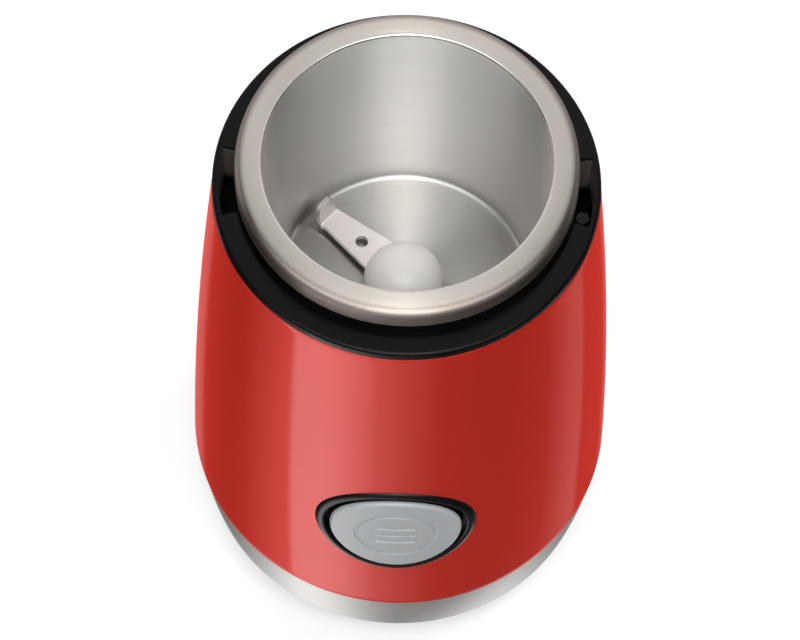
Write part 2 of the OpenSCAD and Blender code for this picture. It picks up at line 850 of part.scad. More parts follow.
// Springs behind the brushes
brush_wire = 0.5;
brush_turns = 5;
module brush_springs() {
    start = brush_start + brush_len;
    color("silver")
        for (a = [0, 180])
            rotate([0, 0, a])
                translate([0, start, holder_z + holder_w / 2])
                    rotate([-90, 0, 0])
                        coil(brush_side / 3, brush_wire, brush_turns, holder_end - holder_wall - start);
}

// Armature, with heights as shares of the motor room
commutator_drop_share = 0.082;
commutator_h = motor_room * commutator_len_share;
commutator_z = stack_z - motor_room * commutator_drop_share - commutator_h;
// Height of the end windings, as a share of the motor room
winding_h_share = 0.07;
winding_h = motor_room * winding_h_share;
// Inner radius of the end windings, as a share of the armature's radius
winding_in_share = 0.334;
winding_in_r = armature_r * winding_in_share;
winding_set = 1.6;
winding_out_r = armature_r - winding_set;
// Slots of the armature, as shares of its radius
slot_w_share = 0.2135;
slot_w = armature_r * slot_w_share;
slot_in_share = 0.6;
slot_in_r = armature_r * slot_in_share;
slot_cap = 1.4;
slot_out_r = armature_r - slot_cap;
tooth_gap = 1.4;
// Height of the fan over the stack, as a share of the motor room
fan_lift_share = 0.0985;
fan_r = stator_w * fan_share;
fan_h = motor_room * fan_len_share;
fan_z = stack_top_z + motor_room * fan_lift_share;
// Disc, blades and hub of the fan
fan_disc_h = 1.4;
fan_blade_t = 1.2;
fan_hub_r = 6;
// Length of shaft under the lower bearing
shaft_end = 2;
shaft_foot_z = lower_bracket_z - shaft_end;
hub_foot_z = floor_z + blade_gap;
// Reach of the shaft into the dome, as a share of the dome's height
shaft_in_share = 0.6;
shaft_top_z = hub_foot_z + blade_t + dome_h * shaft_in_share;
module motor_shaft() {
    tip = shaft_r * shaft_tip_share;
    color("silver")
        rotate_extrude()
            polygon([
                [0, shaft_foot_z],
                [shaft_r - tip, shaft_foot_z],
                [shaft_r, shaft_foot_z + tip],
                [shaft_r, shaft_top_z - tip],
                [shaft_r - tip, shaft_top_z],
                [0, shaft_top_z]
            ]);
}
// Bevel of the shaft's ends, as a share of its radius
shaft_tip_share = 0.2;
module slot_row(grow) {
    for (i = [0:slots - 1])
        rotate(360 * i / slots) {
            translate([slot_in_r - grow, -slot_w / 2 - grow])
                square([slot_out_r - slot_in_r + 2 * grow, slot_w + 2 * grow]);
        }
}
module armature_core() {
    color("slategray")
        translate([0, 0, stack_z])
            linear_extrude(stack_h)
                difference() {
                    circle(r = armature_r);
                    circle(r = shaft_r + seat_slack);
                    slot_row(gap);
                    for (i = [0:slots - 1])
                        rotate(360 * i / slots)
                            translate([slot_out_r, -tooth_gap / 2])
                                square([armature_r - slot_out_r + cut, tooth_gap]);
                }
}
module armature_windings() {
    edge = winding_h / 3;
    profile = [
        [winding_in_r, 0],
        [winding_out_r, 0],
        [winding_out_r, winding_h - edge],
        [winding_out_r - edge, winding_h],
        [winding_in_r + edge, winding_h],
        [winding_in_r, winding_h - edge]
    ];
    color("peru") {
        translate([0, 0, stack_top_z + gap])
            rotate_extrude()
                polygon(profile);
        translate([0, 0, stack_z - gap])
            mirror([0, 0, 1])
                rotate_extrude()
                    polygon(profile);
        translate([0, 0, stack_z - 2 * gap])
            linear_extrude(stack_h + 4 * gap)
                intersection() {
                    slot_row(0);
                    circle(r = winding_out_r - gap);
                }
    }
}
module commutator() {
    color("chocolate")
        difference() {
            tube(commutator_r, shaft_r + seat_slack, commutator_z, commutator_z + commutator_h);
            for (i = [0:2 * slots - 1])
                rotate([0, 0, 360 * (i + 1 / 2) / (2 * slots)])
                    translate([commutator_r - bar_depth, -bar_gap / 2, commutator_z - cut])
                        cube([bar_depth + cut, bar_gap, commutator_h + 2 * cut]);
        }
}
// Grooves between the commutator's bars
bar_depth = 1.2;
bar_gap = 0.5;
module cooling_fan() {
    color("white")
        difference() {
            union() {
                rod(fan_r, fan_z, fan_z + fan_disc_h);
                rod(fan_hub_r, fan_z, fan_z + fan_h);
                for (i = [0:fan_blades - 1])
                    rotate([0, 0, 360 * i / fan_blades])
                        translate([fan_hub_r - fan_blade_t, -fan_blade_t / 2, fan_z])
                            cube([fan_r - fan_hub_r, fan_blade_t, fan_h]);
            }
            rod(shaft_r + seat_slack, fan_z - cut, fan_z + fan_h + cut);
        }
}

// Blade, hub and spacer
blade_top_z = hub_foot_z + blade_t;
bend_at = bowl_r - bowl_taper - blade_clear;
wing_hole_at = hub_r + (bend_at - hub_r) * wing_hole_share;
module wing() {
    root_x = hub_r * wing_root_share;
    shoulder = tip_w * shoulder_share;
    tip_front = -tip_set - tip_w / 2;
    tip_rear = tip_w / 2 - tip_set;
    polygon([
        [0, -root_set - root_w / 2],
        [root_x, -root_set - root_w / 2],
        [bend_at, tip_front],
        [bend_at, tip_rear],
        [bend_at - shoulder, tip_rear + shoulder / 2],
        [bend_at - 2 * shoulder, tip_rear],
        [root_x, root_w / 2 - root_set],
        [0, root_w / 2 - root_set]
    ]);
}
// Where the wing starts to narrow, as a share of the hub's radius
wing_root_share = 0.8;
// Small shoulder next to the bend, as a share of the tip's width
shoulder_share = 0.15;
module flap() {
    round_r = tip_w * flap_round_share;
    translate([bend_at, -tip_set, blade_top_z - blade_t])
        rotate([0, flap_lean - 90, 0])
            linear_extrude(blade_t)
                translate([0, -tip_w / 2])
                    intersection() {
                        square([flap_len, tip_w]);
                        union() {
                            square([flap_len - round_r, tip_w]);
                            square([flap_len, tip_w - round_r]);
                            translate([flap_len - round_r, tip_w - round_r])
                                circle(r = round_r);
                        }
                    }
}
// Rounded corner of the turned-up tip, as a share of its width
flap_round_share = 0.6;
module blade() {
    color("gainsboro")
        difference() {
            union() {
                rod(hub_r, hub_foot_z, blade_top_z);
                for (a = [0, 180])
                    rotate([0, 0, blade_turn + a]) {
                        translate([0, 0, hub_foot_z])
                            linear_extrude(blade_t)
                                wing();
                        flap();
                    }
            }
            rod(shaft_r + seat_slack, hub_foot_z - cut, blade_top_z + cut);
            for (a = [0, 180])
                rotate([0, 0, blade_turn + a])
                    translate([wing_hole_at, -(tip_set + root_set), 0])
                        rod(wing_hole_r, hub_foot_z - cut, blade_top_z + cut);
        }
}
dome_steps = 12;
module blade_hub() {
    dome = [for (i = [0:dome_steps - 1])
        let (a = 90 * i / dome_steps) [hub_r * cos(a), blade_top_z + dome_h * sin(a)]];
    color("lightgray")
        difference() {
            rotate_extrude()
                polygon(concat([[0, blade_top_z]], dome, [[0, blade_top_z + dome_h]]));
            rod(shaft_r + seat_slack, blade_top_z - cut, shaft_top_z + gap);
        }
}
// Running gap between the spacer and the seal
spacer_gap = 0.5;
module blade_spacer() {
    color("lightgray")
        tube(hub_r, shaft_r + seat_slack, floor_z + seal_up + spacer_gap, hub_foot_z);
}

// Button, bezel, spring and switch
button_z = chassis_z - button_hang;
button_r = bezel_r - bezel_w;
ring_r = button_r * ring_share;
// Depth of the bezel's back behind the shell's surface, and its back plate
bezel_depth = 10.6;
bezel_back_y = shell_r(button_z) - bezel_depth;
bezel_plate_t = 2;
bezel_floor_y = bezel_back_y + bezel_plate_t;
// Clearance of the button in the bezel
button_gap = 0.4;
button_skirt_y = bezel_floor_y + button_travel + button_gap;
// Length of the button's spring at rest
button_spring_len = 5.6;
button_floor_y = bezel_floor_y + button_spring_len;
// Skirt and stem of the button
skirt_wall = 1.5;
stem_r = 2.6;
// Switch behind the button
switch_w = 20;
switch_h = 10;
switch_d = 10.5;
switch_well_r = 3.2;
// Reach of the stem into the switch, and the room left past its travel
stem_reach = 2.5;
switch_slack = 2.1;
switch_well_d = stem_reach + button_travel + switch_slack;
hanger_y = bezel_back_y - hanger_d / 2;
stem_in_y = bezel_back_y - hanger_d - stem_reach;
// How far the bezel's lug reaches up over the bezel
lug_up = 1.5;
bezel_lug_z = button_z + bezel_r + lug_up;
// Springs of the button and the plunger
spring_wire = 0.7;
spring_coil_r = 4.6;
spring_turns = 3;
// The shell's outside near the button, as one cone, moved out by a distance
module face_cone(out) {
    low = button_z - bezel_r - cut;
    high = button_z + bezel_r + cut;
    translate([0, 0, low])
        cylinder(h = high - low, r1 = shell_r(low) + out, r2 = shell_r(high) + out);
}
module pulse_button() {
    color("black")
        intersection() {
            union() {
                difference() {
                    front_rod(button_r, button_skirt_y, shell_max_r + button_proud + cut);
                    front_rod(button_r - skirt_wall, button_skirt_y - cut, button_floor_y);
                }
                front_rod(stem_r, stem_in_y, button_floor_y + cut);
            }
            face_cone(button_proud - cap_t);
        }
}
// The ring and ribs engraved on the cap
module engraving() {
    difference() {
        union() {
            difference() {
                front_rod(ring_r, button_floor_y, shell_max_r + 2 * cut);
                front_rod(ring_r - ring_w, button_floor_y - cut, shell_max_r + 3 * cut);
            }
            for (i = [-1:1])
                translate([0, 0, i * rib_pitch])
                    front_block(2 * ring_r * rib_len_share, ring_w,
                        -shell_max_r - 2 * cut, -button_floor_y, button_z - ring_w / 2);
        }
        face_cone(button_proud - ring_depth);
    }
}
module button_cap() {
    color("darkgray")
        difference() {
            intersection() {
                front_rod(button_r, button_floor_y, shell_max_r + button_proud + cut);
                difference() {
                    face_cone(button_proud);
                    face_cone(button_proud - cap_t);
                }
            }
            engraving();
        }
}
// Three short ribs inside the engraved ring
rib_pitch = 3.4;
rib_len_share = 0.5;
module button_bezel() {
    color("black")
        difference() {
            union() {
                intersection() {
                    front_rod(bezel_r, bezel_back_y, shell_max_r + cut);
                    union() {
                        face_cone(-bezel_sink);
                        difference() {
                            face_cone(bead_proud);
                            front_rod(bezel_r - bead_w, 0, shell_max_r + 2 * cut);
                        }
                    }
                }
                translate([0, -hanger_y, 0])
                    block(switch_w, hanger_d, button_z - switch_h / 2, bezel_lug_z);
            }
            front_rod(button_r + button_gap, bezel_floor_y, shell_max_r + cut);
            front_rod(stem_r + seat_slack, 0, shell_max_r);
        }
}
module button_spring() {
    color("silver")
        translate([0, -bezel_floor_y, button_z])
            rotate([90, 0, 0])
                coil(spring_coil_r, spring_wire, spring_turns, button_spring_len);
}
module pulse_switch() {
    color("dimgray")
        difference() {
            front_block(switch_w, switch_h, -bezel_back_y + hanger_d, -bezel_back_y + hanger_d + switch_d,
                button_z - switch_h / 2);
            front_rod(switch_well_r, bezel_back_y - hanger_d - switch_well_d, bezel_back_y);
        }
}

// Safety switch under the right-hand pocket
plunger_place_r = (pocket_in_r + pocket_out_r) / 2;
// Flange that the plunger's spring presses, and the plunger's foot in the switch
plunger_flange_r = 2.8;
plunger_flange_h = 1.2;
plunger_foot = 1.6;
// Width and height of the switch, and the room left past the plunger's travel
interlock_w = 12.8;
interlock_h = 11;
interlock_slack = 1.4;
interlock_well = plunger_foot + plunger_travel + interlock_slack;
// The switch fills the room between the chassis sleeve and the shell, less this
interlock_clear = 0.5;
interlock_turns = 5;
module at_plunger() {
    rotate([0, 0, pocket_angles[0]])
        translate([plunger_place_r, 0, 0])
            children();
}
flange_z = pocket_floor_z - pocket_wall - 2 * gap - plunger_flange_h;
module interlock_plunger() {
    color("white")
        at_plunger()
            union() {
                rod(plunger_r, shelf_z - shelf_h - plunger_foot, pocket_floor_z + plunger_up);
                rod(plunger_flange_r, flange_z, flange_z + plunger_flange_h);
            }
}
module interlock_spring() {
    color("silver")
        at_plunger()
            translate([0, 0, shelf_z])
                coil(plunger_r + spring_wire, spring_wire, interlock_turns, flange_z - shelf_z);
}
module interlock_switch() {
    top = shelf_z - shelf_h;
    low = top - interlock_h;
    room_r = min(shell_r(low), shell_r(top)) - shell_wall - interlock_clear;
    in_x = sleeve_out_r + interlock_clear;
    out_x = sqrt(pow(room_r, 2) - pow(interlock_w / 2, 2));
    color("dimgray")
        at_plunger()
            difference() {
                translate([(in_x + out_x) / 2 - plunger_place_r, 0, 0])
                    block(out_x - in_x, interlock_w, low, top);
                rod(plunger_r + 2 * gap, top - interlock_well, top + cut);
            }
}

// Mains side in the bottom cover: terminal block, capacitor, bush and clamp
block_w = 20;
block_d = 9;
block_h = 11;
// Gap between the brush holders and the mains parts
mains_gap = 1.5;
block_in = 20.1;
block_place = [leg_x - block_in, holder_end + mains_gap + block_d / 2];
terminals = 3;
terminal_r = 1.8;
// Suppression capacitor
capacitor_w = 17;
capacitor_d = 8;
capacitor_h = 13;
capacitor_in = 19.1;
capacitor_place = [capacitor_in - leg_x, holder_end + mains_gap + capacitor_d / 2];
// Screws of the cord clamp
clamp_screw_r = 1.1;
clamp_head_r = 2.1;
clamp_head_h = 1.3;
clamp_screw_len = 8;
module terminal_block() {
    color("ivory")
        translate(block_place)
            difference() {
                block(block_w, block_d, cover_top_z, cover_top_z + block_h);
                for (i = [0:terminals - 1])
                    translate([block_w * ((i + 1 / 2) / terminals - 1 / 2), 0, 0]) {
                        rod(terminal_r, cover_top_z + block_h / 2, cover_top_z + block_h + cut);
                        translate([0, block_d, cover_top_z + block_h / 3])
                            rotate([90, 0, 0])
                                cylinder(h = 2 * block_d, r = terminal_r);
                    }
            }
}
module suppression_capacitor() {
    color("steelblue")
        translate(capacitor_place)
            block(capacitor_w, capacitor_d, cover_top_z, cover_top_z + capacitor_h);
}
module cord_bush() {
    outer_y = band_r(inlet_z + bush_flange_r) + gap;
    inner_r = min(bush_flange_r, inlet_z - cover_top_z - gap);
    wall_in_r = band_r(cover_top_z) - band_wall - cover_wall;
    inner_y = sqrt(pow(wall_in_r, 2) - pow(inner_r, 2)) - gap;
    color("black")
        translate([0, 0, inlet_z])
            rotate([-90, 0, 0])
                difference() {
                    union() {
                        rod(bush_r, inner_y - bush_flange_t, outer_y + bush_flange_t);
                        rod(bush_flange_r, outer_y, outer_y + bush_flange_t);
                        rod(inner_r, inner_y - bush_flange_t, inner_y);
                    }
                    rod(cord_hole_r, inner_y - bush_flange_t - cut, outer_y + bush_flange_t + cut);
                }
}
module cord_clamp() {
    color("black")
        translate([0, clamp_y, 0])
            difference() {
                block(2 * clamp_post_x + clamp_d, clamp_d, clamp_post_z, clamp_post_z + clamp_bar_h);
                for (s = [-1, 1])
                    translate([s * clamp_post_x, 0, clamp_post_z])
                        rod(clamp_screw_r + screw_slack, -cut, clamp_bar_h + cut);
            }
}
module clamp_screws() {
    color("gray")
        for (s = [-1, 1])
            translate([s * clamp_post_x, clamp_y, clamp_post_z + clamp_bar_h + clamp_head_h])
                rotate([180, 0, 0])
                    screw(clamp_screw_r, clamp_screw_len, clamp_head_r, clamp_head_h);
}

outer_shell();
base_band();
bottom_cover();
rubber_feet();
bottom_screws();
collar();
collar_screws();
grinding_bowl();
bowl_gasket();
shaft_seal();
chassis();
motor_dampers();
motor_screws();
stator_core();
field_coils();
upper_bracket();
lower_bracket();
upper_bearing();
lower_bearing();
bracket_screws();
brush_holders();
carbon_brushes();
brush_springs();
motor_shaft();
armature_core();
armature_windings();
commutator();
cooling_fan();
blade();
blade_hub();
blade_spacer();
pulse_button();
button_cap();
button_bezel();
button_spring();
pulse_switch();
interlock_plunger();
interlock_spring();
interlock_switch();
terminal_block();
suppression_capacitor();
cord_bush();
cord_clamp();
clamp_screws();
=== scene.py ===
"""Looks of the coffee grinder: pieces, materials, light and camera.

Lengths are in millimetres until a mesh is made, which turns them into metres. The front is -Y.
"""
import json
import math

import bmesh
import bpy
from mathutils import Matrix, Vector


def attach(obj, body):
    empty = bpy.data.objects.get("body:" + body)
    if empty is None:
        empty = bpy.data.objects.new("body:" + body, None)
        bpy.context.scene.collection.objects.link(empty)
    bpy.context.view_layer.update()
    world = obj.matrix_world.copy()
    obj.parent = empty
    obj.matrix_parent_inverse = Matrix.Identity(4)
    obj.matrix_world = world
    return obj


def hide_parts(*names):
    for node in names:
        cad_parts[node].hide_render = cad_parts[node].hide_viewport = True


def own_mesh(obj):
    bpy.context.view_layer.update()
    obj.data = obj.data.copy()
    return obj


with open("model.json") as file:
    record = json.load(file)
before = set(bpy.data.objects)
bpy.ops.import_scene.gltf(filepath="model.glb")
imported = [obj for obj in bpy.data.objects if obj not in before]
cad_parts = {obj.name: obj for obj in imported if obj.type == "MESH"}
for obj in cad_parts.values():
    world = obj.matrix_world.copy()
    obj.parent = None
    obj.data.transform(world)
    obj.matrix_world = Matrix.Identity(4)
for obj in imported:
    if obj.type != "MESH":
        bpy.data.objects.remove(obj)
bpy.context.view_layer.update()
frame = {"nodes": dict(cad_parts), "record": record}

MM = 0.001

# Camera, solved from the ellipses of the rim, the collar and the foot
CAMERA_ELEVATION = 62.96
CAMERA_ROLL = 1.858
CAMERA_DISTANCE = 1135
CAMERA_AIM = (-0.54, 0, 78.75)
CAMERA_FOCAL_PIXELS = 4467.8
CAMERA_NEAR_METRES = 0.1
CAMERA_FAR_METRES = 20
IMAGE_WIDTH = 800
SENSOR_WIDTH = 36

# Shell, as in the CAD source
RIM_Z = 162
SHELL_TOP_Z = 149.5
SHELL_FOOT_Z = 22.8
SHELL_TOP_R = 46.7
SHELL_FOOT_R = 54.05
SHELL_BULGE = 1.15
SHELL_WALL = 0.8
SHELL_EDGE = 0.35

# Steel band
BAND_FOOT_Z = 2
BAND_TOP_R = 53.5
BAND_FOOT_R = 50.9
BAND_BULGE = 0.4
BAND_WALL = 0.8
BAND_EDGE = 0.3
BAND_FOOT_ROUND = 0.6
BAND_TOP_SET = 0.05
HEM_WIDTH = 2
INLET_Z = 11.57
INLET_R = 5.15

# Bowl: the lip is a fine bead round the mouth, and outside it the rim's top leans outward
BOWL_R = 35
BOWL_FLOOR_Z = 97.605
BOWL_WALL = 0.6
BOWL_TAPER = 3.2
BOWL_FLOOR_ROUND = 1.6
LIP_R = 34.55
LIP_ROUND = 0.55
LIP_FOOT_Z = 160.4
RIM_R = 41.15
RIM_ROUND = 1.8
RIM_FLAT_R = 36
RIM_LEAN = 8
SKIRT_Z = 156
SKIRT_EDGE = 0.2
SEAL_HOLE_R = 7

# Blade and hub
HUB_FOOT_Z = 99.405
BLADE_T = 1.5
BLADE_TOP_Z = HUB_FOOT_Z + BLADE_T
BLADE_TURN = 140
BLADE_EDGE = 0.18
BLADE_EDGE_STEPS = 3
BLADE_EDGE_FROM = 50
BEND_AT = 26.2
BEND_RADIUS = 1.3
BEND_STEPS = 8
TIP_W = 5.8
ROOT_W = 10.1
TIP_SET = 0.9
ROOT_SET = 1.2
FLAP_LEN = 4.9
FLAP_LEAN = 20
TIP_FRONT_ROUND = 0.8
TIP_REAR_ROUND = TIP_W * 0.55
SHOULDER = TIP_W * 0.15
SHOULDER_TOP_ROUND = 0.4
SHOULDER_FOOT_ROUND = 0.6
WING_HOLE_AT = 14.9
WING_HOLE_R = 1.6
HUB_R = 9.95
HUB_EDGE = 0.3
WING_ROOT_AT = HUB_R * 0.8
WING_ROOT_ROUND = 2
DOME_H = 8.4
SHAFT_BORE_R = 2.55
SHAFT_BORE_TOP = 106.095

# Where the bend of the blade's tip starts along the flat blank, and how far it turns
BEND_TURN = math.radians(90 - FLAP_LEAN)
BEND_START = BEND_AT - BEND_RADIUS * BEND_TURN / 2

# Button and bezel
BUTTON_Z = 65
BUTTON_R = 16.6
BUTTON_PROUD = 1.38
BUTTON_EDGE = 0.8
CAP_T = 1.2
BUTTON_SKIRT_Y = 47.425
BUTTON_SKIRT_WALL = 1.5
BUTTON_CORNER = 0.25
BUTTON_FLOOR_Y = 49.625
STEM_R = 2.6
STEM_END_Y = 35.523
STEM_CORNER = 0.4
RING_R = 10.4
RING_W = 0.7
RING_DEPTH = 0.45
RIB_PITCH = 3.4
RIB_LENGTH = 10.4
ENGRAVING_SLOPE = 0.14
BEZEL_R = 20.3
BEAD_W = 2.5
BEAD_PROUD = 0.8
BEAD_OUT_SHARE = 0.8
BEAD_LEAN = 0.1
BEAD_FOOT_ROUND = 0.25
BEAD_IN_ROUND = 0.9
BEAD_OUT_ROUND = 1.1
BEZEL_SINK = 1.6
BEZEL_RISE = 0.05
WELL_EDGE = 0.2
WELL_LIP = 1
BEZEL_BACK_Y = 42.023
BEZEL_PLATE = 2
BEZEL_IN_R = 17
BEZEL_HOLE_R = 2.65
LUG_W = 20
LUG_T = 4
LUG_LOW_Z = 60
LUG_TOP_Z = 86.805
LUG_LOW_ROUND = 1
LUG_TOP_ROUND = 2.5
SHELL_HOLE_R = 20.35

# Fineness of the meshes: steps round an axis, ring spacing on the button's face, and a tiny centre hole
BODY_STEPS = 320
HUB_STEPS = 160
DOME_STEPS = 40
BUTTON_STEPS = 420
SHELL_ROWS = 72
BAND_ROWS = 20
BOWL_WALL_ROWS = 24
BOWL_FLOOR_ROWS = 12
HOLE_STEPS = 48
WING_HOLE_STEPS = 32
FACE_PITCH = 0.14
CENTRE_R = 0.01
TOUCHING = 1e-4


def shell_r(z):
    """Radius of the shell's outside at height z."""
    t = (SHELL_TOP_Z - z) / (SHELL_TOP_Z - SHELL_FOOT_Z)
    return SHELL_TOP_R + (SHELL_FOOT_R - SHELL_TOP_R) * t + SHELL_BULGE * 4 * t * (1 - t)


def band_r(z):
    """Radius of the steel band's outside at height z."""
    t = (SHELL_FOOT_Z - z) / (SHELL_FOOT_Z - BAND_FOOT_Z)
    return BAND_TOP_R + (BAND_FOOT_R - BAND_TOP_R) * t + BAND_BULGE * 4 * t * (1 - t)


def smooth_step(low, high, x):
    """0 below low, 1 above high, and a smooth rise between them."""
    t = min(max((x - low) / (high - low), 0), 1)
    return t * t * (3 - 2 * t)


# Outlines

def rounded(corners, steps=6):
    """A closed outline from (x, y, radius) corners, each with a radius rounded by an arc."""
    out = []
    count = len(corners)
    for i, (x, y, r) in enumerate(corners):
        here = Vector((x, y))
        if r == 0:
            out.append(here)
            continue
        before = (Vector(corners[i - 1][:2]) - here).normalized()
        after = (Vector(corners[(i + 1) % count][:2]) - here).normalized()
        half = before.angle(after) / 2
        cut = r / math.tan(half)
        centre = here + (before + after).normalized() * r / math.sin(half)
        start = here + before * cut - centre
        turn = (math.pi - 2 * half) * (1 if start.cross(here + after * cut - centre) > 0 else -1)
        for k in range(steps + 1):
            a = turn * k / steps
            out.append(centre + Matrix.Rotation(a, 2) @ start)
    return out


def arc(x, y, r, start, end, steps=16):
    """Points of an arc, from one angle in degrees to another."""
    out = []
    for i in range(steps + 1):
        a = math.radians(start + (end - start) * i / steps)
        out.append((x + r * math.cos(a), y + r * math.sin(a)))
    return out


def circle(x, y, r, steps):
    """Points of a full circle."""
    turns = (2 * math.pi * i / steps for i in range(steps))
    return [(x + r * math.cos(a), y + r * math.sin(a)) for a in turns]


# Mesh helpers

def add_object(name, data):
    """A new object of a mesh, a lamp or a camera, in the scene."""
    made = bpy.data.objects.new(name, data)
    bpy.context.scene.collection.objects.link(made)
    return made


def finish_piece(bm, name, body, slot, sharp=35):
    """Turns a mesh in millimetres into a shaded object in metres that rides on a body."""
    bmesh.ops.remove_doubles(bm, verts=bm.verts, dist=TOUCHING)
    bmesh.ops.recalc_face_normals(bm, faces=bm.faces)
    mesh = bpy.data.meshes.new(name)
    bm.to_mesh(mesh)
    bm.free()
    mesh.transform(Matrix.Scale(MM, 4))
    mesh.shade_smooth()
    mesh.set_sharp_from_angle(angle=math.radians(sharp))
    mesh.materials.append(LOOKS[slot])
    piece = add_object(name, mesh)
    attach(piece, body)
    return piece


def grid(bm, rows, wrap_columns=True):
    """Quads between rows of points: the last row joins the first, and columns may join too."""
    verts = [[bm.verts.new(p) for p in row] for row in rows]
    height, width = len(verts), len(verts[0])
    for i in range(height):
        for j in range(width if wrap_columns else width - 1):
            quad = (
                verts[i][j], verts[i][(j + 1) % width],
                verts[(i + 1) % height][(j + 1) % width], verts[(i + 1) % height][j],
            )
            bm.faces.new(quad)


def turned(profile, steps):
    """A mesh turned from a closed profile of (radius, height) points round Z."""
    bm = bmesh.new()
    rows = []
    for i in range(steps):
        a = 2 * math.pi * i / steps
        rows.append([(r * math.cos(a), r * math.sin(a), z) for r, z in profile])
    grid(bm, rows)
    return bm


def edge_ring(bm, points):
    """A closed ring of edges through points."""
    ring = [bm.verts.new(p) for p in points]
    return [bm.edges.new((v, ring[(i + 1) % len(ring)])) for i, v in enumerate(ring)]


def made_of(result, kind):
    """The vertices or the faces among what a mesh operator made."""
    return [item for item in result["geom"] if isinstance(item, kind)]


def punch(bm, radius, height, side, outer, wall):
    """Cuts a round hole along Y through a turned wall, on its front (-1) or rear (1) side.

    The vertices next to the edge slide along the wall onto the circle, so the wall's shading stays smooth.
    """
    def reach(v):
        d = math.hypot(v.co.x, v.co.z - height) - radius
        return 0 if abs(d) < TOUCHING else d

    def slide(v):
        skin = outer(v.co.z) - math.hypot(v.co.x, v.co.y) > wall / 2
        off = Vector((v.co.x, v.co.z - height)).normalized() * radius
        z = height + off.y
        r = outer(z) - (wall if skin else 0)
        v.co = (off.x, side * math.sqrt(r * r - off.x * off.x), z)

    def near(item):
        return all(side * v.co.y > 0 and abs(reach(v)) < radius for v in item.verts)

    for e in [e for e in bm.edges if near(e)]:
        a, b = e.verts
        if reach(a) * reach(b) < 0:
            slide(a if abs(reach(a)) < abs(reach(b)) else b)
    for f in [f for f in bm.faces if near(f)]:
        signs = [reach(v) for v in f.verts]
        if min(signs) < 0 < max(signs):
            edge = [v for v in f.verts if reach(v) == 0]
            if len(edge) == 2:
                bmesh.utils.face_split(f, edge[0], edge[1])
    inside = [f for f in bm.faces if near(f) and max(reach(v) for v in f.verts) <= 0]
    bmesh.ops.delete(bm, geom=inside, context="FACES")
    rims = [e for e in bm.edges if e.is_boundary]
    bmesh.ops.bridge_loops(bm, edges=rims)


# Materials

# The bowl's steel by distance from the axis: floor, wall, polished lip, rim, and the skirt round it
BOWL_ZONES = (
    (0, 0.33), (31.6, 0.28), (32, 0.4), (34.4, 0.4), (34.6, 0.12), (35.1, 0.12),
    (35.4, 0.25), (39.6, 0.25), (41.2, 0.28),
)
# Colour shares of the bowl by distance: the floor darker than the wall, and the rim's outer rounding and
# the skirt darkened as painted shade
BOWL_TONES_WITH_PAINTED_SHADE = (
    (0, (0.5, 0.49, 0.47)), (31.6, (0.5, 0.49, 0.47)),
    (32, (0.7, 0.685, 0.66)), (34.3, (0.7, 0.685, 0.66)), (34.6, (0.66, 0.63, 0.6)),
    (35.4, (0.58, 0.54, 0.495)), (38.8, (0.56, 0.52, 0.475)),
    (40.1, (0.3, 0.26, 0.235)), (41.2, (0.26, 0.22, 0.2)),
)

# The wall leans outward, so below the lip it is brushed as at this distance, out to the lip's crown
WALL_ZONE_R = 34.2
LIP_CROWN_R = 35.1
PAST_ALL_R = 100

# Brushing lines and clouds: fine across the profile, slow round the axis, and the lines' depth in metres
LINES_ACROSS = 5200
LINES_ROUND = 3.0
CLOUDS_ACROSS = 120
CLOUDS_ROUND = 1.2
LINE_DEPTH = 0.000004

# Grain of the faint clouds in plastic, and the least radius that a direction round the axis is worked from
CLOUD_GRAIN = 70
LEAST_RADIUS = 1e-5

# Share of painted light on the collar's plastic by height, paler on the pocket walls: none on the pockets'
# floor, full on their walls, and none on the top
POCKET_PAINTED_LIGHT = ((130, 0), (137, 0), (140, 1), (151, 1), (151.6, 0), (153, 0))
POCKET_OUT_R = 45.4


class Tree:
    """A node tree with short ways to add nodes."""

    def __init__(self, tree):
        self.nodes = tree.nodes
        self.links = tree.links

    def node(self, kind, inputs=(), **settings):
        """A node with its settings, and its first inputs linked or set in order."""
        made = self.nodes.new("ShaderNode" + kind)
        for name, value in settings.items():
            setattr(made, name, value)
        for slot, value in enumerate(inputs):
            self.put(made.inputs[slot], value)
        return made

    def put(self, socket, value):
        """Links a socket to an output, or sets its value."""
        if isinstance(value, bpy.types.NodeSocket):
            self.links.new(value, socket)
        elif value is not None:
            socket.default_value = value

    def math(self, operation, a, b=None):
        return self.node("Math", (a, b), operation=operation).outputs[0]

    def blend(self, share, a, b):
        """A number between a and b."""
        return self.node("Mix", (share, None, a, b)).outputs[0]

    def ramp(self, value, stops):
        """Straight lines through (place from 0 to 1, level or colour) stops."""
        made = self.node("ValToRGB", (value,))
        points = made.color_ramp.elements
        while len(points) < len(stops):
            points.new(0.5)
        for point, (place, level) in zip(points, stops):
            point.position = place
            point.color = (*level, 1) if isinstance(level, tuple) else (level, level, level, 1)
        return made.outputs[0]


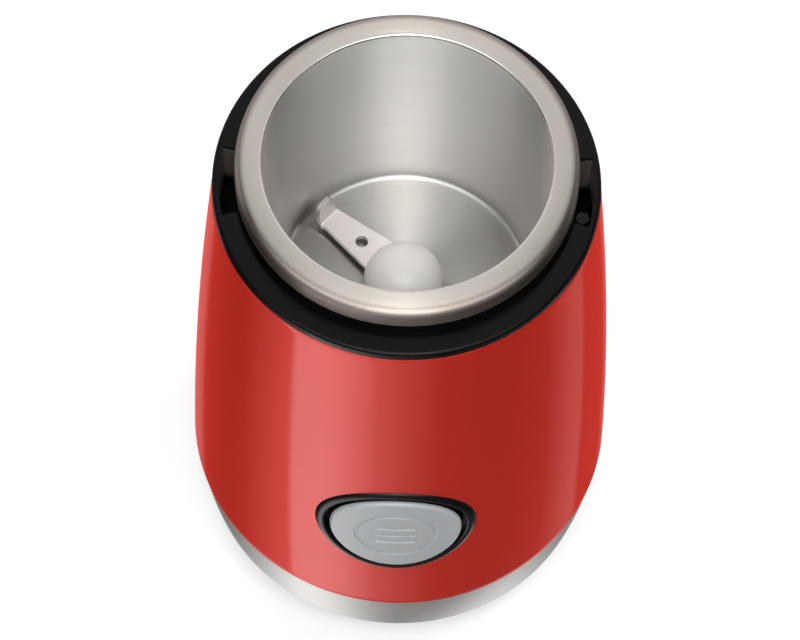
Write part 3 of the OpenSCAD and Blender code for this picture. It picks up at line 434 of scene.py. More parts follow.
class Look(Tree):
    """A material with its Principled shader and short ways to add detail."""

    def __init__(self, name, color, roughness, metallic=0.0, **sockets):
        self.material = bpy.data.materials.new(name)
        self.material.use_nodes = True
        super().__init__(self.material.node_tree)
        self.shader = self.nodes["Principled BSDF"]
        self.color = color
        levels = dict(Base_Color=(*color, 1), Roughness=roughness, Metallic=metallic, **sockets)
        for socket, value in levels.items():
            self.shader.inputs[socket.replace("_", " ")].default_value = value

    def place(self):
        return self.node("TexCoord").outputs["Object"]

    def axes(self):
        """The x, y and z of a point of the object."""
        return self.node("SeparateXYZ", (self.place(),)).outputs

    def radius(self, axes):
        """Distance from the Z axis."""
        across = self.math("MULTIPLY", axes[0], axes[0])
        return self.math("SQRT", self.math("ADD", across, self.math("MULTIPLY", axes[1], axes[1])))

    def round_place(self, across, round_z):
        """Coordinates for marks that run round Z: fine along the profile, slow round the axis."""
        axes = self.axes()
        r = self.radius(axes)
        safe = self.math("MAXIMUM", r, LEAST_RADIUS)
        vector = self.node("CombineXYZ", (
            self.math("MULTIPLY", r, across),
            self.math("MULTIPLY", axes[2], across),
            self.math("MULTIPLY", self.math("DIVIDE", axes[0], safe), round_z),
        )).outputs[0]
        return vector, self.math("MULTIPLY", self.math("DIVIDE", axes[1], safe), round_z)

    def noise(self, vector, scale, detail, rough=0.5, w=None):
        made = self.node("TexNoise", noise_dimensions="3D" if w is None else "4D")
        self.put(made.inputs["Vector"], vector)
        self.put(made.inputs["Scale"], scale)
        self.put(made.inputs["Detail"], detail)
        self.put(made.inputs["Roughness"], rough)
        if w is not None:
            self.put(made.inputs["W"], w)
        return made.outputs["Fac"]

    def spread(self, value, low, high, start=0.3, end=0.7):
        """Goes from low to high while the value goes from start to end."""
        return self.node("MapRange", (value, start, end, low, high)).outputs[0]

    def steps(self, value, stops):
        """Straight lines through (value, level or colour) stops."""
        low, high = stops[0][0], stops[-1][0]
        shares = [((place - low) / (high - low), level) for place, level in stops]
        return self.ramp(self.spread(value, 0, 1, low, high), shares)

    def tint(self, value, dark, light, start=0.3, end=0.7):
        """Moves the base colour between two shares of itself."""
        mix = self.node("Mix", data_type="RGBA")
        self.put(mix.inputs[0], self.spread(value, 0.0, 1.0, start, end))
        mix.inputs[6].default_value = (*[min(c * dark, 1) for c in self.color], 1)
        mix.inputs[7].default_value = (*[min(c * light, 1) for c in self.color], 1)
        self.links.new(mix.outputs[2], self.shader.inputs["Base Color"])

    def bump(self, height, distance, strength):
        made = self.node("Bump")
        self.put(made.inputs["Height"], height)
        made.inputs["Distance"].default_value = distance
        made.inputs["Strength"].default_value = strength
        self.links.new(made.outputs[0], self.shader.inputs["Normal"])

    def rough(self, value, low, high):
        self.links.new(self.spread(value, low, high), self.shader.inputs["Roughness"])


def lacquer(name, color):
    """Glossy metallic lacquer: a fine pearl flake under a clear coat with faint orange peel."""
    look = Look(
        name, color, 0.55, 0.6, Specular_Tint=(1, 0.33, 0.15, 1),
        Coat_Weight=0.42, Coat_Roughness=0.05, Coat_IOR=2.0,
        Sheen_Weight=0.6, Sheen_Roughness=0.35, Sheen_Tint=(1, 0.06, 0.04, 1),
    )
    flakes = look.noise(look.place(), 9000, 1)
    look.tint(flakes, 0.9, 1.08)
    look.rough(look.noise(look.place(), 60, 3), 0.53, 0.57)
    look.bump(look.noise(look.place(), 700, 2), 0.00002, 0.15)
    return look.material


def turned_steel(name, color, roughness, anisotropy=0.7, zones=None, tones_with_painted_shade=None, metallic=1.0):
    """Steel brushed round the axis, with highlights that spread across the lines.

    Zones are stops of (distance from the axis, roughness), for the bowl, whose parts are brushed unlike.
    Tones are stops of (distance, colour share) that darken the bowl's floor and paint shade on its rim's
    outer edge and skirt.
    """
    look = Look(name, color, roughness, metallic, Anisotropic=anisotropy, Anisotropic_Rotation=0.25)
    tangent = look.node("Tangent", direction_type="RADIAL", axis="Z")
    look.links.new(tangent.outputs[0], look.shader.inputs["Tangent"])
    vector, w = look.round_place(LINES_ACROSS, LINES_ROUND)
    lines = look.noise(vector, 1.0, 4, 0.7, w)
    slow_vector, slow_w = look.round_place(CLOUDS_ACROSS, CLOUDS_ROUND)
    slow = look.noise(slow_vector, 1.0, 2, 0.5, slow_w)
    marks = look.math("ADD", look.math("MULTIPLY", lines, 0.7), look.math("MULTIPLY", slow, 0.3))
    look.tint(marks, 0.93, 1.04)
    level = look.spread(lines, 0.92, 1.12)
    base = roughness
    if zones:
        axes = look.axes()
        r = look.math("DIVIDE", look.radius(axes), MM)
        height = look.math("DIVIDE", axes[2], MM)
        over = look.math("GREATER_THAN", height, LIP_FOOT_Z)
        free = look.math("MAXIMUM", over, look.math("GREATER_THAN", r, LIP_CROWN_R))
        most = look.math("ADD", WALL_ZONE_R, look.math("MULTIPLY", free, PAST_ALL_R))
        r = look.math("MINIMUM", r, most)
        base = look.steps(r, zones)
        # The tones multiply the brushed colour: on the bowl they darken the floor, and paint shade on the
        # rim's outer edge and the skirt
        brushed = look.shader.inputs["Base Color"].links[0].from_socket
        tone_and_painted_shade = look.node("Mix", data_type="RGBA", blend_type="MULTIPLY")
        look.put(tone_and_painted_shade.inputs[0], 1)
        look.put(tone_and_painted_shade.inputs[6], look.steps(r, tones_with_painted_shade))
        look.put(tone_and_painted_shade.inputs[7], brushed)
        look.put(look.shader.inputs["Base Color"], tone_and_painted_shade.outputs[2])
    look.links.new(look.math("MULTIPLY", level, base), look.shader.inputs["Roughness"])
    look.bump(lines, LINE_DEPTH, 0.4)
    return look.material


def plain_metal(name, color, roughness, grain, depth=0.00001, metallic=1.0, vary=0.06):
    """Rolled, blasted or plated metal with an even fine grain."""
    look = Look(name, color, roughness, metallic)
    fine = look.noise(look.place(), grain, 4, 0.6)
    look.tint(look.noise(look.place(), grain / 12, 3), 1 - vary, 1 + vary)
    look.rough(fine, roughness * 0.85, min(roughness * 1.25, 1))
    look.bump(fine, depth, 0.5)
    return look.material


def plastic(name, color, roughness, grain=2200, depth=0.00001, gloss=0.0, vary=0.06, level=0.5):
    """Moulded plastic or rubber with a fine even grain and faint cloudy variation."""
    look = Look(name, color, roughness, Coat_Weight=gloss, Coat_Roughness=0.06, Specular_IOR_Level=level)
    fine = look.noise(look.place(), grain, 3, 0.6)
    look.tint(look.noise(look.place(), CLOUD_GRAIN, 3), 1 - vary, 1 + vary)
    look.rough(fine, roughness * 0.9, min(roughness * 1.12, 1))
    look.bump(fine, depth, 0.5)
    return look.material


def collar_plastic(name, color, painted_light_color):
    """Glossy black plastic, matt on the walls of the pockets for the lid, whose walls are painted paler as
    painted light.
    """
    look = Look(name, color, 0.2, Coat_Weight=0.02, Coat_Roughness=0.06, Specular_IOR_Level=0.1)
    axes = look.axes()
    inside = look.math("LESS_THAN", look.radius(axes), POCKET_OUT_R * MM)
    height = look.math("DIVIDE", axes[2], MM)
    # Painted light: the pocket walls get a paler colour than the black, as well as a matt finish
    wall = look.math("MULTIPLY", inside, look.steps(height, POCKET_PAINTED_LIGHT))
    cloud = look.spread(look.noise(look.place(), CLOUD_GRAIN, 3), 0.9, 1.1)
    mix = look.node("Mix", data_type="RGBA")
    look.put(mix.inputs[0], look.math("MULTIPLY", wall, cloud))
    look.put(mix.inputs[6], (*color, 1))
    look.put(mix.inputs[7], (*painted_light_color, 1))
    look.put(look.shader.inputs["Base Color"], mix.outputs[2])
    fine = look.noise(look.place(), 2200, 3, 0.6)
    matt = look.math("MULTIPLY", wall, 0.3)
    look.put(look.shader.inputs["Roughness"], look.math("ADD", look.spread(fine, 0.18, 0.22), matt))
    look.bump(fine, 0.000004, 0.5)
    return look.material


def layered_metal(name, color, roughness, pitch):
    """Stamped sheets stacked along Z, with dark lines between them."""
    look = Look(name, color, roughness, 0.9)
    height = look.axes()[2]
    wave = look.math("ABSOLUTE", look.math("SINE", look.math("MULTIPLY", height, math.pi / pitch)))
    grain = look.noise(look.place(), 900, 3)
    lines = look.math("ADD", wave, look.math("MULTIPLY", grain, 0.35))
    look.tint(lines, 0.45, 1.1, 0.15, 0.7)
    look.rough(grain, roughness * 0.9, roughness * 1.2)
    look.bump(wave, 0.00008, 0.5)
    return look.material


def wound_wire(name, color, roughness, pitch):
    """Enamelled wire wound in close turns."""
    look = Look(name, color, roughness, 0.85, Coat_Weight=0.5, Coat_Roughness=0.15)
    wave = look.node("TexWave", wave_type="BANDS", bands_direction="DIAGONAL")
    look.links.new(look.place(), wave.inputs["Vector"])
    wave.inputs["Scale"].default_value = 1 / (20 * pitch)
    wave.inputs["Distortion"].default_value = 0.6
    look.tint(wave.outputs["Fac"], 0.45, 1.15, 0.1, 0.9)
    look.rough(look.noise(look.place(), 500, 3), roughness * 0.85, roughness * 1.2)
    look.bump(wave.outputs["Fac"], 0.0001, 0.7)
    return look.material


LOOKS = {
    "red_shell": lacquer("red_lacquer", (0.82, 0.03, 0.014)),
    "band_steel": turned_steel("band_steel", (0.62, 0.6, 0.58), 0.32, metallic=0.72),
    # The bowl's tones paint shade on its rim's outer edge and skirt
    "bowl_steel": turned_steel("bowl_steel", (0.96, 0.96, 0.96), 0.5, 1.0, BOWL_ZONES, BOWL_TONES_WITH_PAINTED_SHADE),
    # The collar's second colour is painted light on the walls of its pockets
    "gloss_black": collar_plastic("collar_plastic", (0.003, 0.0026, 0.003), (0.16, 0.13, 0.125)),
    "bezel_black": plastic(
        "bezel_plastic", (0.003, 0.0032, 0.003), 0.26, gloss=0.03, depth=0.000004, level=0.2,
    ),
    "black_plastic": plastic("cover_plastic", (0.02, 0.02, 0.021), 0.5, 1400, 0.00003),
    "black_rubber": plastic("rubber", (0.016, 0.016, 0.016), 0.75, 900, 0.00004),
    "white_plastic": plastic("white_plastic", (0.72, 0.72, 0.7), 0.42),
    "ivory_plastic": plastic("ivory_plastic", (0.66, 0.6, 0.45), 0.45),
    "grey_button": plastic(
        "button_plastic", (0.56, 0.59, 0.61), 0.36, 2600, 0.000006, gloss=0.12, vary=0.03,
    ),
    "blade_steel": plain_metal("blade_steel", (0.82, 0.77, 0.75), 0.42, 1800, 0.000008, 0.8, 0.03),
    "hub_steel": plain_metal("hub_steel", (0.88, 0.86, 0.84), 0.4, 2500, 0.000003, 0.05, 0.015),
    "zinc_steel": plain_metal("zinc_steel", (0.62, 0.62, 0.64), 0.35, 1200),
    "spring_steel": plain_metal("spring_steel", (0.6, 0.6, 0.6), 0.28, 1600),
    "shaft_steel": turned_steel("shaft_steel", (0.62, 0.62, 0.63), 0.22),
    "bracket_steel": plain_metal("bracket_metal", (0.55, 0.56, 0.57), 0.5, 700, 0.00003),
    "lamination_steel": layered_metal("laminations", (0.3, 0.31, 0.33), 0.45, 0.0005),
    "copper_wire": wound_wire("copper_wire", (0.62, 0.22, 0.08), 0.35, 0.0006),
    "commutator_copper": turned_steel("commutator_copper", (0.66, 0.32, 0.19), 0.3),
    "bearing_bronze": plain_metal("bronze", (0.58, 0.4, 0.2), 0.5, 1500, 0.00002),
    "brass": plain_metal("brass", (0.72, 0.53, 0.24), 0.32, 900),
    "carbon": plastic("carbon", (0.03, 0.03, 0.032), 0.5, 1600, 0.00003),
    "capacitor_case": plastic("capacitor_case", (0.08, 0.13, 0.24), 0.3, gloss=0.3),
}

for part in frame["record"]["subparts"]:
    node = frame["nodes"][part["node"]]
    node.data.materials.clear()
    node.data.materials.append(LOOKS[part["material_slot"]])


# Shell, band and bowl

def wall_rows(low, high, count, radius):
    """Points up a wall whose radius follows its height."""
    heights = [low + (high - low) * i / count for i in range(count + 1)]
    return [(radius(z), z) for z in heights]


def make_shell():
    """The red shell, open at both ends, with the bezel's hole in its front."""
    low, high = SHELL_FOOT_Z + SHELL_EDGE, SHELL_TOP_Z - SHELL_EDGE
    outside = wall_rows(low, high, SHELL_ROWS, shell_r)
    inside = [(r - SHELL_WALL, z) for r, z in reversed(outside)]
    top = arc(SHELL_TOP_R - SHELL_EDGE, high, SHELL_EDGE, 0, 90, 4)[1:]
    foot = arc(SHELL_FOOT_R - SHELL_EDGE, low, SHELL_EDGE, -90, 0, 4)[:-1]
    bm = turned(outside + top + inside + foot, BODY_STEPS)
    punch(bm, SHELL_HOLE_R, BUTTON_Z, -1, shell_r, SHELL_WALL)
    shell = finish_piece(bm, "body_shell", "base", "red_shell")
    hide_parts("outer_shell")


def make_band():
    """The steel band, hemmed at its foot, with the cord inlet's hole in its rear."""
    low, high = BAND_FOOT_Z + BAND_FOOT_ROUND, SHELL_FOOT_Z - BAND_EDGE
    outside = wall_rows(low, high, BAND_ROWS, band_r)
    top = [(BAND_TOP_R - BAND_TOP_SET, SHELL_FOOT_Z), (BAND_TOP_R - BAND_WALL, SHELL_FOOT_Z)]
    inside = [(r - BAND_WALL, max(z, BAND_FOOT_Z + BAND_WALL)) for r, z in reversed(outside)]
    hem_r = BAND_FOOT_R - BAND_WALL - HEM_WIDTH
    hem = [(hem_r, BAND_FOOT_Z + BAND_WALL), (hem_r, BAND_FOOT_Z)]
    foot = arc(BAND_FOOT_R - BAND_FOOT_ROUND, low, BAND_FOOT_ROUND, -90, 0, 4)[:-1]
    bm = turned(outside + top + inside + hem + foot, BODY_STEPS)
    punch(bm, INLET_R, INLET_Z, 1, band_r, BAND_WALL)
    band = finish_piece(bm, "foot_band", "base", "band_steel")
    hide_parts("base_band")


def make_bowl():
    """The drawn bowl: floor, leaning wall, lip, rim and skirt, and the same way back underneath."""
    lip_x = LIP_R + LIP_ROUND
    lip_z = RIM_Z - LIP_ROUND
    foot_x = BOWL_R - BOWL_TAPER - BOWL_FLOOR_ROUND
    foot_z = BOWL_FLOOR_Z + BOWL_FLOOR_ROUND
    lean = math.degrees(math.atan(BOWL_TAPER / (lip_z - foot_z)))
    corner = arc(foot_x, foot_z, BOWL_FLOOR_ROUND, -90, -lean)
    lip = arc(lip_x, lip_z, LIP_ROUND, 210, 90)
    low, high = Vector(corner[-1]), Vector((BOWL_R, LIP_FOOT_Z))
    wall = [tuple(low.lerp(high, i / BOWL_WALL_ROWS)) for i in range(1, BOWL_WALL_ROWS + 1)]
    floor_step = (foot_x - SEAL_HOLE_R) / BOWL_FLOOR_ROWS
    rim_x = RIM_R - RIM_ROUND
    lean_sin = math.sin(math.radians(RIM_LEAN))
    lean_cos = math.cos(math.radians(RIM_LEAN))
    crown_r = (rim_x + RIM_ROUND * lean_sin - RIM_FLAT_R) / lean_sin
    rim_z = RIM_Z - crown_r * (1 - lean_cos) - RIM_ROUND * lean_cos
    crown = arc(RIM_FLAT_R, RIM_Z - crown_r, crown_r, 90, 90 - RIM_LEAN)
    face = (
        [(SEAL_HOLE_R + floor_step * i, BOWL_FLOOR_Z) for i in range(BOWL_FLOOR_ROWS)]
        + corner + wall + lip + crown
        + arc(rim_x, rim_z, RIM_ROUND, 90 - RIM_LEAN, 0)[1:]
        + [(RIM_R, SKIRT_Z + SKIRT_EDGE), (RIM_R - SKIRT_EDGE, SKIRT_Z), (RIM_R - BOWL_WALL, SKIRT_Z)]
    )
    rear = (
        arc(rim_x, rim_z, RIM_ROUND - BOWL_WALL, 0, 90 - RIM_LEAN)
        + arc(RIM_FLAT_R, RIM_Z - crown_r, crown_r - BOWL_WALL, 90 - RIM_LEAN, 90)[1:]
        + [(BOWL_R + BOWL_WALL, RIM_Z - BOWL_WALL)]
        + arc(foot_x, foot_z, BOWL_FLOOR_ROUND + BOWL_WALL, -lean, -90)
        + [(SEAL_HOLE_R, BOWL_FLOOR_Z - BOWL_WALL)]
    )
    bowl = finish_piece(turned(face + rear, BODY_STEPS), "steel_bowl", "base", "bowl_steel")
    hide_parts("grinding_bowl")


# Blade and hub

def wing_outline():
    """The wing and its unfolded tip, in the wing's own frame, and the hole in it."""
    front = -TIP_SET - TIP_W / 2
    rear = TIP_W / 2 - TIP_SET
    flat_len = BEND_AT + FLAP_LEN
    corners = [
        (0, -ROOT_SET - ROOT_W / 2, 0),
        (WING_ROOT_AT, -ROOT_SET - ROOT_W / 2, WING_ROOT_ROUND),
        (BEND_AT, front, 0),
        (flat_len, front, TIP_FRONT_ROUND),
        (flat_len, rear, TIP_REAR_ROUND),
        (BEND_AT, rear, 0),
        (BEND_AT - SHOULDER, rear + SHOULDER / 2, SHOULDER_TOP_ROUND),
        (BEND_AT - 2 * SHOULDER, rear, SHOULDER_FOOT_ROUND),
        (WING_ROOT_AT, ROOT_W / 2 - ROOT_SET, WING_ROOT_ROUND),
        (0, ROOT_W / 2 - ROOT_SET, 0),
    ]
    hole = circle(WING_HOLE_AT, -(TIP_SET + ROOT_SET) / 2, WING_HOLE_R, WING_HOLE_STEPS)
    return rounded(corners, 8), hole


def bend(x, z):
    """Where a point of the flat blank goes when its tip is turned up."""
    if x <= BEND_START:
        return x, z
    a = min((x - BEND_START) / BEND_RADIUS, BEND_TURN)
    rest = x - BEND_START - a * BEND_RADIUS
    reach = BEND_RADIUS - z
    return (
        BEND_START + reach * math.sin(a) + rest * math.cos(a),
        BEND_RADIUS - reach * math.cos(a) + rest * math.sin(a),
    )


def make_blade():
    """Both wings of the blade, cut flat, bent up at their tips and turned about the hub."""
    bm = bmesh.new()
    for loop in wing_outline():
        edge_ring(bm, [(x, y, 0) for x, y in loop])
    bmesh.ops.triangle_fill(bm, edges=bm.edges, use_beauty=True, use_dissolve=False)
    for i in range(BEND_STEPS + 1):
        cut_x = BEND_START + BEND_RADIUS * BEND_TURN * i / BEND_STEPS
        everything = bm.verts[:] + bm.edges[:] + bm.faces[:]
        bmesh.ops.bisect_plane(bm, geom=everything, plane_co=(cut_x, 0, 0), plane_no=(1, 0, 0))
    raised = bmesh.ops.extrude_face_region(bm, geom=bm.faces[:])
    for v in made_of(raised, bmesh.types.BMVert):
        v.co.z += BLADE_T
    for v in bm.verts:
        x, z = bend(v.co.x, v.co.z - BLADE_T / 2)
        v.co = (x, v.co.y, z + BLADE_T / 2)
    first = bm.verts[:]
    copy = bmesh.ops.duplicate(bm, geom=bm.verts[:] + bm.edges[:] + bm.faces[:])
    second = made_of(copy, bmesh.types.BMVert)
    for verts, angle in ((first, BLADE_TURN), (second, BLADE_TURN + 180)):
        turn = Matrix.Rotation(math.radians(angle), 3, "Z")
        bmesh.ops.rotate(bm, verts=verts, cent=(0, 0, 0), matrix=turn)
    bmesh.ops.translate(bm, verts=bm.verts, vec=(0, 0, HUB_FOOT_Z))
    blade = finish_piece(bm, "steel_blade", "rotor", "blade_steel", 40)
    soft = blade.modifiers.new("edges", "BEVEL")
    soft.width = BLADE_EDGE * MM
    soft.segments = BLADE_EDGE_STEPS
    soft.limit_method = "ANGLE"
    soft.angle_limit = math.radians(BLADE_EDGE_FROM)
    soft.harden_normals = True
    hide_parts("blade")


def make_hub():
    """The dome over the blade, with the shaft's bore in it."""
    dome = [
        (HUB_R * math.cos(a), BLADE_TOP_Z + DOME_H * math.sin(a))
        for a in (math.radians(90 * i / DOME_STEPS) for i in range(1, DOME_STEPS))
    ]
    profile = (
        [(SHAFT_BORE_R, BLADE_TOP_Z), (HUB_R - HUB_EDGE, BLADE_TOP_Z)]
        + dome
        + [(0, BLADE_TOP_Z + DOME_H), (0, SHAFT_BORE_TOP), (SHAFT_BORE_R, SHAFT_BORE_TOP)]
    )
    hub = finish_piece(turned(profile, HUB_STEPS), "hub_dome", "rotor", "hub_steel")
    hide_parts("blade_hub")


# Button and bezel, laid on the shell's curve

def on_shell(rho, angle, proud):
    """A point at a distance and angle from the button's axis, standing proud of the shell."""
    x = rho * math.cos(angle)
    z = BUTTON_Z + rho * math.sin(angle)
    return x, -math.sqrt(shell_r(z) ** 2 - x * x) - proud, z


def on_plane(rho, angle, y):
    """A point at a distance and angle from the button's axis, this far in front of the Z axis."""
    return rho * math.cos(angle), -y, BUTTON_Z + rho * math.sin(angle)


def engraved(rho, angle):
    """Depth of the ring and the three ribs engraved on the button's face."""
    x = rho * math.cos(angle)
    z = rho * math.sin(angle)
    depth = 1 - smooth_step(0, ENGRAVING_SLOPE, abs(rho - RING_R + RING_W / 2) - RING_W / 2)
    for i in (-1, 0, 1):
        over = max(abs(x) - RIB_LENGTH / 2 + RING_W / 2, 0)
        away = math.hypot(over, z - i * RIB_PITCH)
        depth = max(depth, 1 - smooth_step(0, ENGRAVING_SLOPE, away - RING_W / 2))
    return depth * RING_DEPTH


def make_button():
    """The grey cap with its engraving, and the black button under it."""
    cap = bmesh.new()
    body = bmesh.new()
    face_r = BUTTON_R - BUTTON_EDGE
    under = BUTTON_PROUD - CAP_T
    inner_r = BUTTON_R - BUTTON_SKIRT_WALL
    radii = [FACE_PITCH * i for i in range(1, int(face_r / FACE_PITCH) + 1)]
    behind = (
        (BUTTON_R, BUTTON_SKIRT_Y), (inner_r, BUTTON_SKIRT_Y), (inner_r, BUTTON_FLOOR_Y),
        (STEM_R, BUTTON_FLOOR_Y), (STEM_R, STEM_END_Y + STEM_CORNER),
        (STEM_R - STEM_CORNER, STEM_END_Y), (CENTRE_R, STEM_END_Y),
    )
    cap_rows = []
    body_rows = []
    for j in range(BUTTON_STEPS):
        a = 2 * math.pi * j / BUTTON_STEPS
        row = [on_shell(CENTRE_R, a, BUTTON_PROUD)]
        row += [on_shell(r, a, BUTTON_PROUD - engraved(r, a)) for r in radii]
        for d in range(10, 91, 10):
            e = math.radians(d)
            r = face_r + BUTTON_EDGE * math.sin(e)
            row.append(on_shell(r, a, BUTTON_PROUD - BUTTON_EDGE * (1 - math.cos(e))))
        cap_rows.append(row + [on_shell(BUTTON_R, a, under), on_shell(CENTRE_R, a, under)])
        front = [
            on_shell(CENTRE_R, a, under),
            on_shell(BUTTON_R - BUTTON_CORNER, a, under),
            on_shell(BUTTON_R, a, under - BUTTON_CORNER),
        ]
        body_rows.append(front + [on_plane(r, a, y) for r, y in behind])
    grid(cap, cap_rows, False)
    grid(body, body_rows, False)
    piece = finish_piece(cap, "round_button", "button", "grey_button", 30)
    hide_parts("button_cap")
    piece = finish_piece(body, "button_body", "button", "bezel_black", 30)
    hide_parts("pulse_button")


def make_bezel():
    """The black surround: sunk ring, raised bead, side, back plate with the stem's hole, and the lug."""
    bm = bmesh.new()
    bead_in = BEZEL_R - BEAD_W
    plate_y = BEZEL_BACK_Y + BEZEL_PLATE
    well = ((BEZEL_HOLE_R, BEZEL_BACK_Y), (BEZEL_HOLE_R, plate_y), (BEZEL_IN_R, plate_y))
    face = rounded([
        (BEZEL_IN_R, -BEZEL_SINK - WELL_LIP, 0),
        (BEZEL_IN_R, -BEZEL_SINK, WELL_EDGE),
        (bead_in - BEAD_LEAN, -BEZEL_SINK + BEZEL_RISE, BEAD_FOOT_ROUND),
        (bead_in + BEAD_LEAN, BEAD_PROUD, BEAD_IN_ROUND),
        (BEZEL_R, BEAD_PROUD * BEAD_OUT_SHARE, BEAD_OUT_ROUND),
        (BEZEL_R, -SHELL_WALL, 0),
    ])
    rows = []
    for j in range(BODY_STEPS):
        a = 2 * math.pi * j / BODY_STEPS
        rows.append(
            [on_plane(r, a, y) for r, y in well]
            + [on_shell(rho, a, proud) for rho, proud in face]
            + [on_plane(BEZEL_R, a, BEZEL_BACK_Y)]
        )
    grid(bm, rows)
    side = LUG_W / 2
    outline = rounded([
        (-side, LUG_LOW_Z, LUG_LOW_ROUND), (side, LUG_LOW_Z, LUG_LOW_ROUND),
        (side, LUG_TOP_Z, LUG_TOP_ROUND), (-side, LUG_TOP_Z, LUG_TOP_ROUND),
    ])
    hole = circle(0, BUTTON_Z, BEZEL_HOLE_R, HOLE_STEPS)
    loops = []
    for loop in (outline, hole):
        loops += edge_ring(bm, [(x, -BEZEL_BACK_Y, z) for x, z in loop])
    flat = bmesh.ops.triangle_fill(bm, edges=loops, use_beauty=True, use_dissolve=False)
    raised = bmesh.ops.extrude_face_region(bm, geom=made_of(flat, bmesh.types.BMFace))
    for v in made_of(raised, bmesh.types.BMVert):
        v.co.y = LUG_T - BEZEL_BACK_Y
    bezel = finish_piece(bm, "bezel_ring", "base", "bezel_black", 50)
    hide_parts("button_bezel")


def make_spring(node_name, name):
    """The coil under a moving piece, copied from the CAD part and shaded smooth."""
    node = frame["nodes"][node_name]
    mesh = node.data.copy()
    mesh.transform(node.matrix_world)
    mesh.shade_smooth()
    spring = add_object(name, mesh)
    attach(spring, "base")
    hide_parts(node_name)
    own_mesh(spring)


make_shell()
make_band()
make_bowl()
make_blade()
make_hub()
make_button()
make_bezel()
make_spring("button_spring", "button_coil")
make_spring("interlock_spring", "plunger_coil")


# Camera

def make_camera():
    """The photo's camera, above the front and rolled a little."""
    el = math.radians(CAMERA_ELEVATION)
    roll = math.radians(CAMERA_ROLL)
    back = Vector((0, -math.cos(el), math.sin(el)))
    right = (-back).cross(Vector((0, 0, 1))).normalized()
    up = right.cross(-back)
    x_axis = right * math.cos(roll) + up * math.sin(roll)
    y_axis = up * math.cos(roll) - right * math.sin(roll)
    data = bpy.data.cameras.new("photo_camera")
    data.sensor_width = SENSOR_WIDTH
    data.lens = CAMERA_FOCAL_PIXELS * SENSOR_WIDTH / IMAGE_WIDTH
    data.clip_start = CAMERA_NEAR_METRES
    data.clip_end = CAMERA_FAR_METRES
    camera = add_object("photo_camera", data)
    turn = Matrix((x_axis, y_axis, back)).transposed().to_4x4()
    camera.matrix_world = Matrix.Translation((Vector(CAMERA_AIM) + back * CAMERA_DISTANCE) * MM) @ turn
    bpy.context.scene.camera = camera


make_camera()


# Studio: floor, world and lamps. Directions round the grinder are in degrees: 0 its front, 90 its right.

# The floor is a little under the feet, and its glow and tone together are white to the camera
FLOOR_Z = -0.1
FLOOR_HALF_METRES = 4.0
FLOOR_TONE = 0.5
FLOOR_GLOW = 0.55

# Grey and white cards that only gloss and metal see, as (direction, level), in four zones from straight
# down to straight up. The floor is hidden from gloss, so the foot's cards stand in its place.
FOOT_CARDS = (
    (-180, 0.8), (-120, 1.2), (-95, 2.4), (-73, 2.8), (-50, 1.3), (-36, 0.6), (-16, 0.15), (3, 0.08),
    (23, 0.06), (38, 0.08), (60, 0.7), (82, 3.0), (105, 3.0), (130, 1.2), (180, 0.8),
)
LOW_CARDS = (
    (-180, 0.6), (-144, 0.45), (-136, 0.02), (-92, 0.02), (-72, 0.3), (-61, 0.5), (-57, 2.1),
    (-40, 2.3), (-26, 1.9), (-10, 0.85), (6, 0.45), (22, 0.14), (60, 0.05), (86, 0.05),
    (100, 0.33), (116, 0.5), (121, 0.03), (150, 0.03), (168, 0.7), (180, 0.6),
)
MIDDLE_CARDS = (
    (-180, 1.2), (-150, 1.1), (-132, 0.9), (-108, 1.1), (-95, 0.3), (-75, 0.15), (-45, 0.5), (-25, 0.7),
    (0, 0.6), (20, 0.4), (40, 0.3), (60, 0.2), (95, 0.2), (108, 0.5), (132, 0.7), (150, 1.1), (180, 1.2),
)
HIGH_CARDS = (
    (-180, 1.3), (-145, 1.4), (-130, 0.12), (-104, 0.12), (-88, 1.0), (-66, 3.4), (-24, 4.4), (-17, 6.6),
    (21, 6.6), (28, 4.2), (55, 3.4), (66, 2.8), (88, 0.9), (104, 0.12), (130, 0.12), (145, 1.4), (180, 1.3),
)
CARD_LIMIT = 8

# Where each zone turns into the next, by the height of a direction: -1 is straight down, 1 straight up
FOOT_TO_LOW = (-0.96, -0.9)
LOW_TO_MIDDLE = (-0.65, -0.35)
MIDDLE_TO_HIGH = (0.45, 0.65)

# What dull surfaces see all round, and what the camera sees
WORLD_LIGHT = 0.42
WORLD_WHITE = 1.0

# Lamps for dull surfaces: name, direction, elevation, width and height in metres, watts
LAMPS = (
    ("key_light", 0, 50, 0.4, 0.5, 3.6),
    ("top_light", 0, 85, 0.4, 0.4, 6),
    ("right_light", 125, 20, 0.5, 0.5, 9),
    ("left_light", -150, 20, 0.5, 0.5, 5),
)
LAMP_AIM = (0, 0, 0.12)
LAMP_DISTANCE = 1.2


def make_floor():
    """A floor that the camera sees white, apart from the object's shadow."""
    bm = bmesh.new()
    bmesh.ops.create_grid(bm, x_segments=8, y_segments=8, size=FLOOR_HALF_METRES)
    mesh = bpy.data.meshes.new("floor")
    bm.to_mesh(mesh)
    bm.free()
    look = Look("floor_paper", (FLOOR_TONE, FLOOR_TONE, FLOOR_TONE), 0.9)
    look.tint(look.noise(look.place(), 3, 2), 0.99, 1.0)
    path = look.node("LightPath")
    seen = look.math("MAXIMUM", path.outputs["Is Camera Ray"], path.outputs["Is Transmission Ray"])
    glow = look.node("Emission")
    look.put(glow.inputs["Color"], (1, 1, 1, 1))
    look.put(glow.inputs["Strength"], look.math("MULTIPLY", seen, FLOOR_GLOW))
    both = look.node("AddShader", (look.shader.outputs[0], glow.outputs[0]))
    look.links.new(both.outputs[0], look.nodes["Material Output"].inputs["Surface"])
    mesh.materials.append(look.material)
    floor = add_object("floor", mesh)
    floor.location.z = FLOOR_Z * MM
    floor.visible_glossy = False


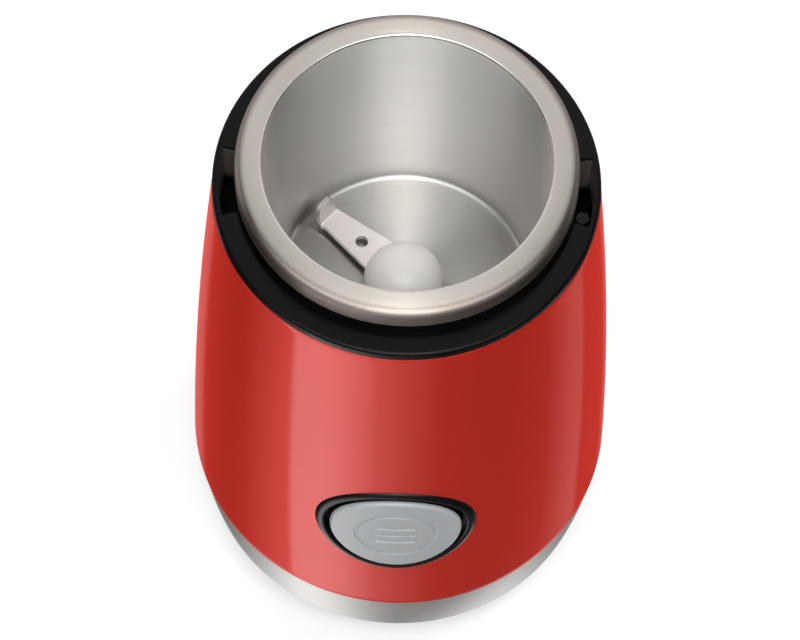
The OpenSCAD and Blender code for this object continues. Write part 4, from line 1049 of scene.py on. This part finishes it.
def make_world():
    """Cards for gloss, an even light for dull surfaces, and white for the camera."""
    world = bpy.data.worlds.new("studio")
    bpy.context.scene.world = world
    world.use_nodes = True
    tree = Tree(world.node_tree)
    tree.nodes.clear()
    way = tree.node("TexCoord").outputs["Generated"]
    axes = tree.node("SeparateXYZ", (way,)).outputs
    turn = tree.math("ARCTAN2", axes[0], tree.math("MULTIPLY", axes[1], -1.0))
    place = tree.math("ADD", tree.math("DIVIDE", turn, 2 * math.pi), 0.5)

    def cards(stops):
        shares = [(azimuth / 360 + 0.5, level / CARD_LIMIT) for azimuth, level in stops]
        return tree.math("MULTIPLY", tree.ramp(place, shares), CARD_LIMIT)

    shine = cards(FOOT_CARDS)
    zones = ((LOW_CARDS, FOOT_TO_LOW), (MIDDLE_CARDS, LOW_TO_MIDDLE), (HIGH_CARDS, MIDDLE_TO_HIGH))
    for stops, (start, end) in zones:
        rise = tree.node("MapRange", (axes[2], start, end), interpolation_type="SMOOTHSTEP").outputs[0]
        shine = tree.blend(rise, shine, cards(stops))
    path = tree.node("LightPath")
    level = tree.blend(path.outputs["Is Glossy Ray"], WORLD_LIGHT, shine)
    level = tree.blend(path.outputs["Is Camera Ray"], level, WORLD_WHITE)
    shade = tree.node("Background")
    tree.put(shade.inputs["Strength"], level)
    tree.node("OutputWorld", (shade.outputs[0],))


def make_lamp(name, azimuth, elevation, width, height, watts):
    """A lamp that gloss doesn't see, aimed at the middle of the grinder."""
    data = bpy.data.lights.new(name, "AREA")
    data.shape = "RECTANGLE"
    data.size = width
    data.size_y = height
    data.energy = watts
    turn = math.radians(azimuth)
    rise = math.radians(elevation)
    away = Vector((math.sin(turn) * math.cos(rise), -math.cos(turn) * math.cos(rise), math.sin(rise)))
    lamp = add_object(name, data)
    lamp.location = Vector(LAMP_AIM) + away * LAMP_DISTANCE
    lamp.rotation_euler = away.to_track_quat("Z", "Y").to_euler()
    lamp.visible_camera = False
    lamp.visible_glossy = False


make_floor()
make_world()
for lamp_values in LAMPS:
    make_lamp(*lamp_values)

bpy.context.scene.view_settings.view_transform = "Standard"
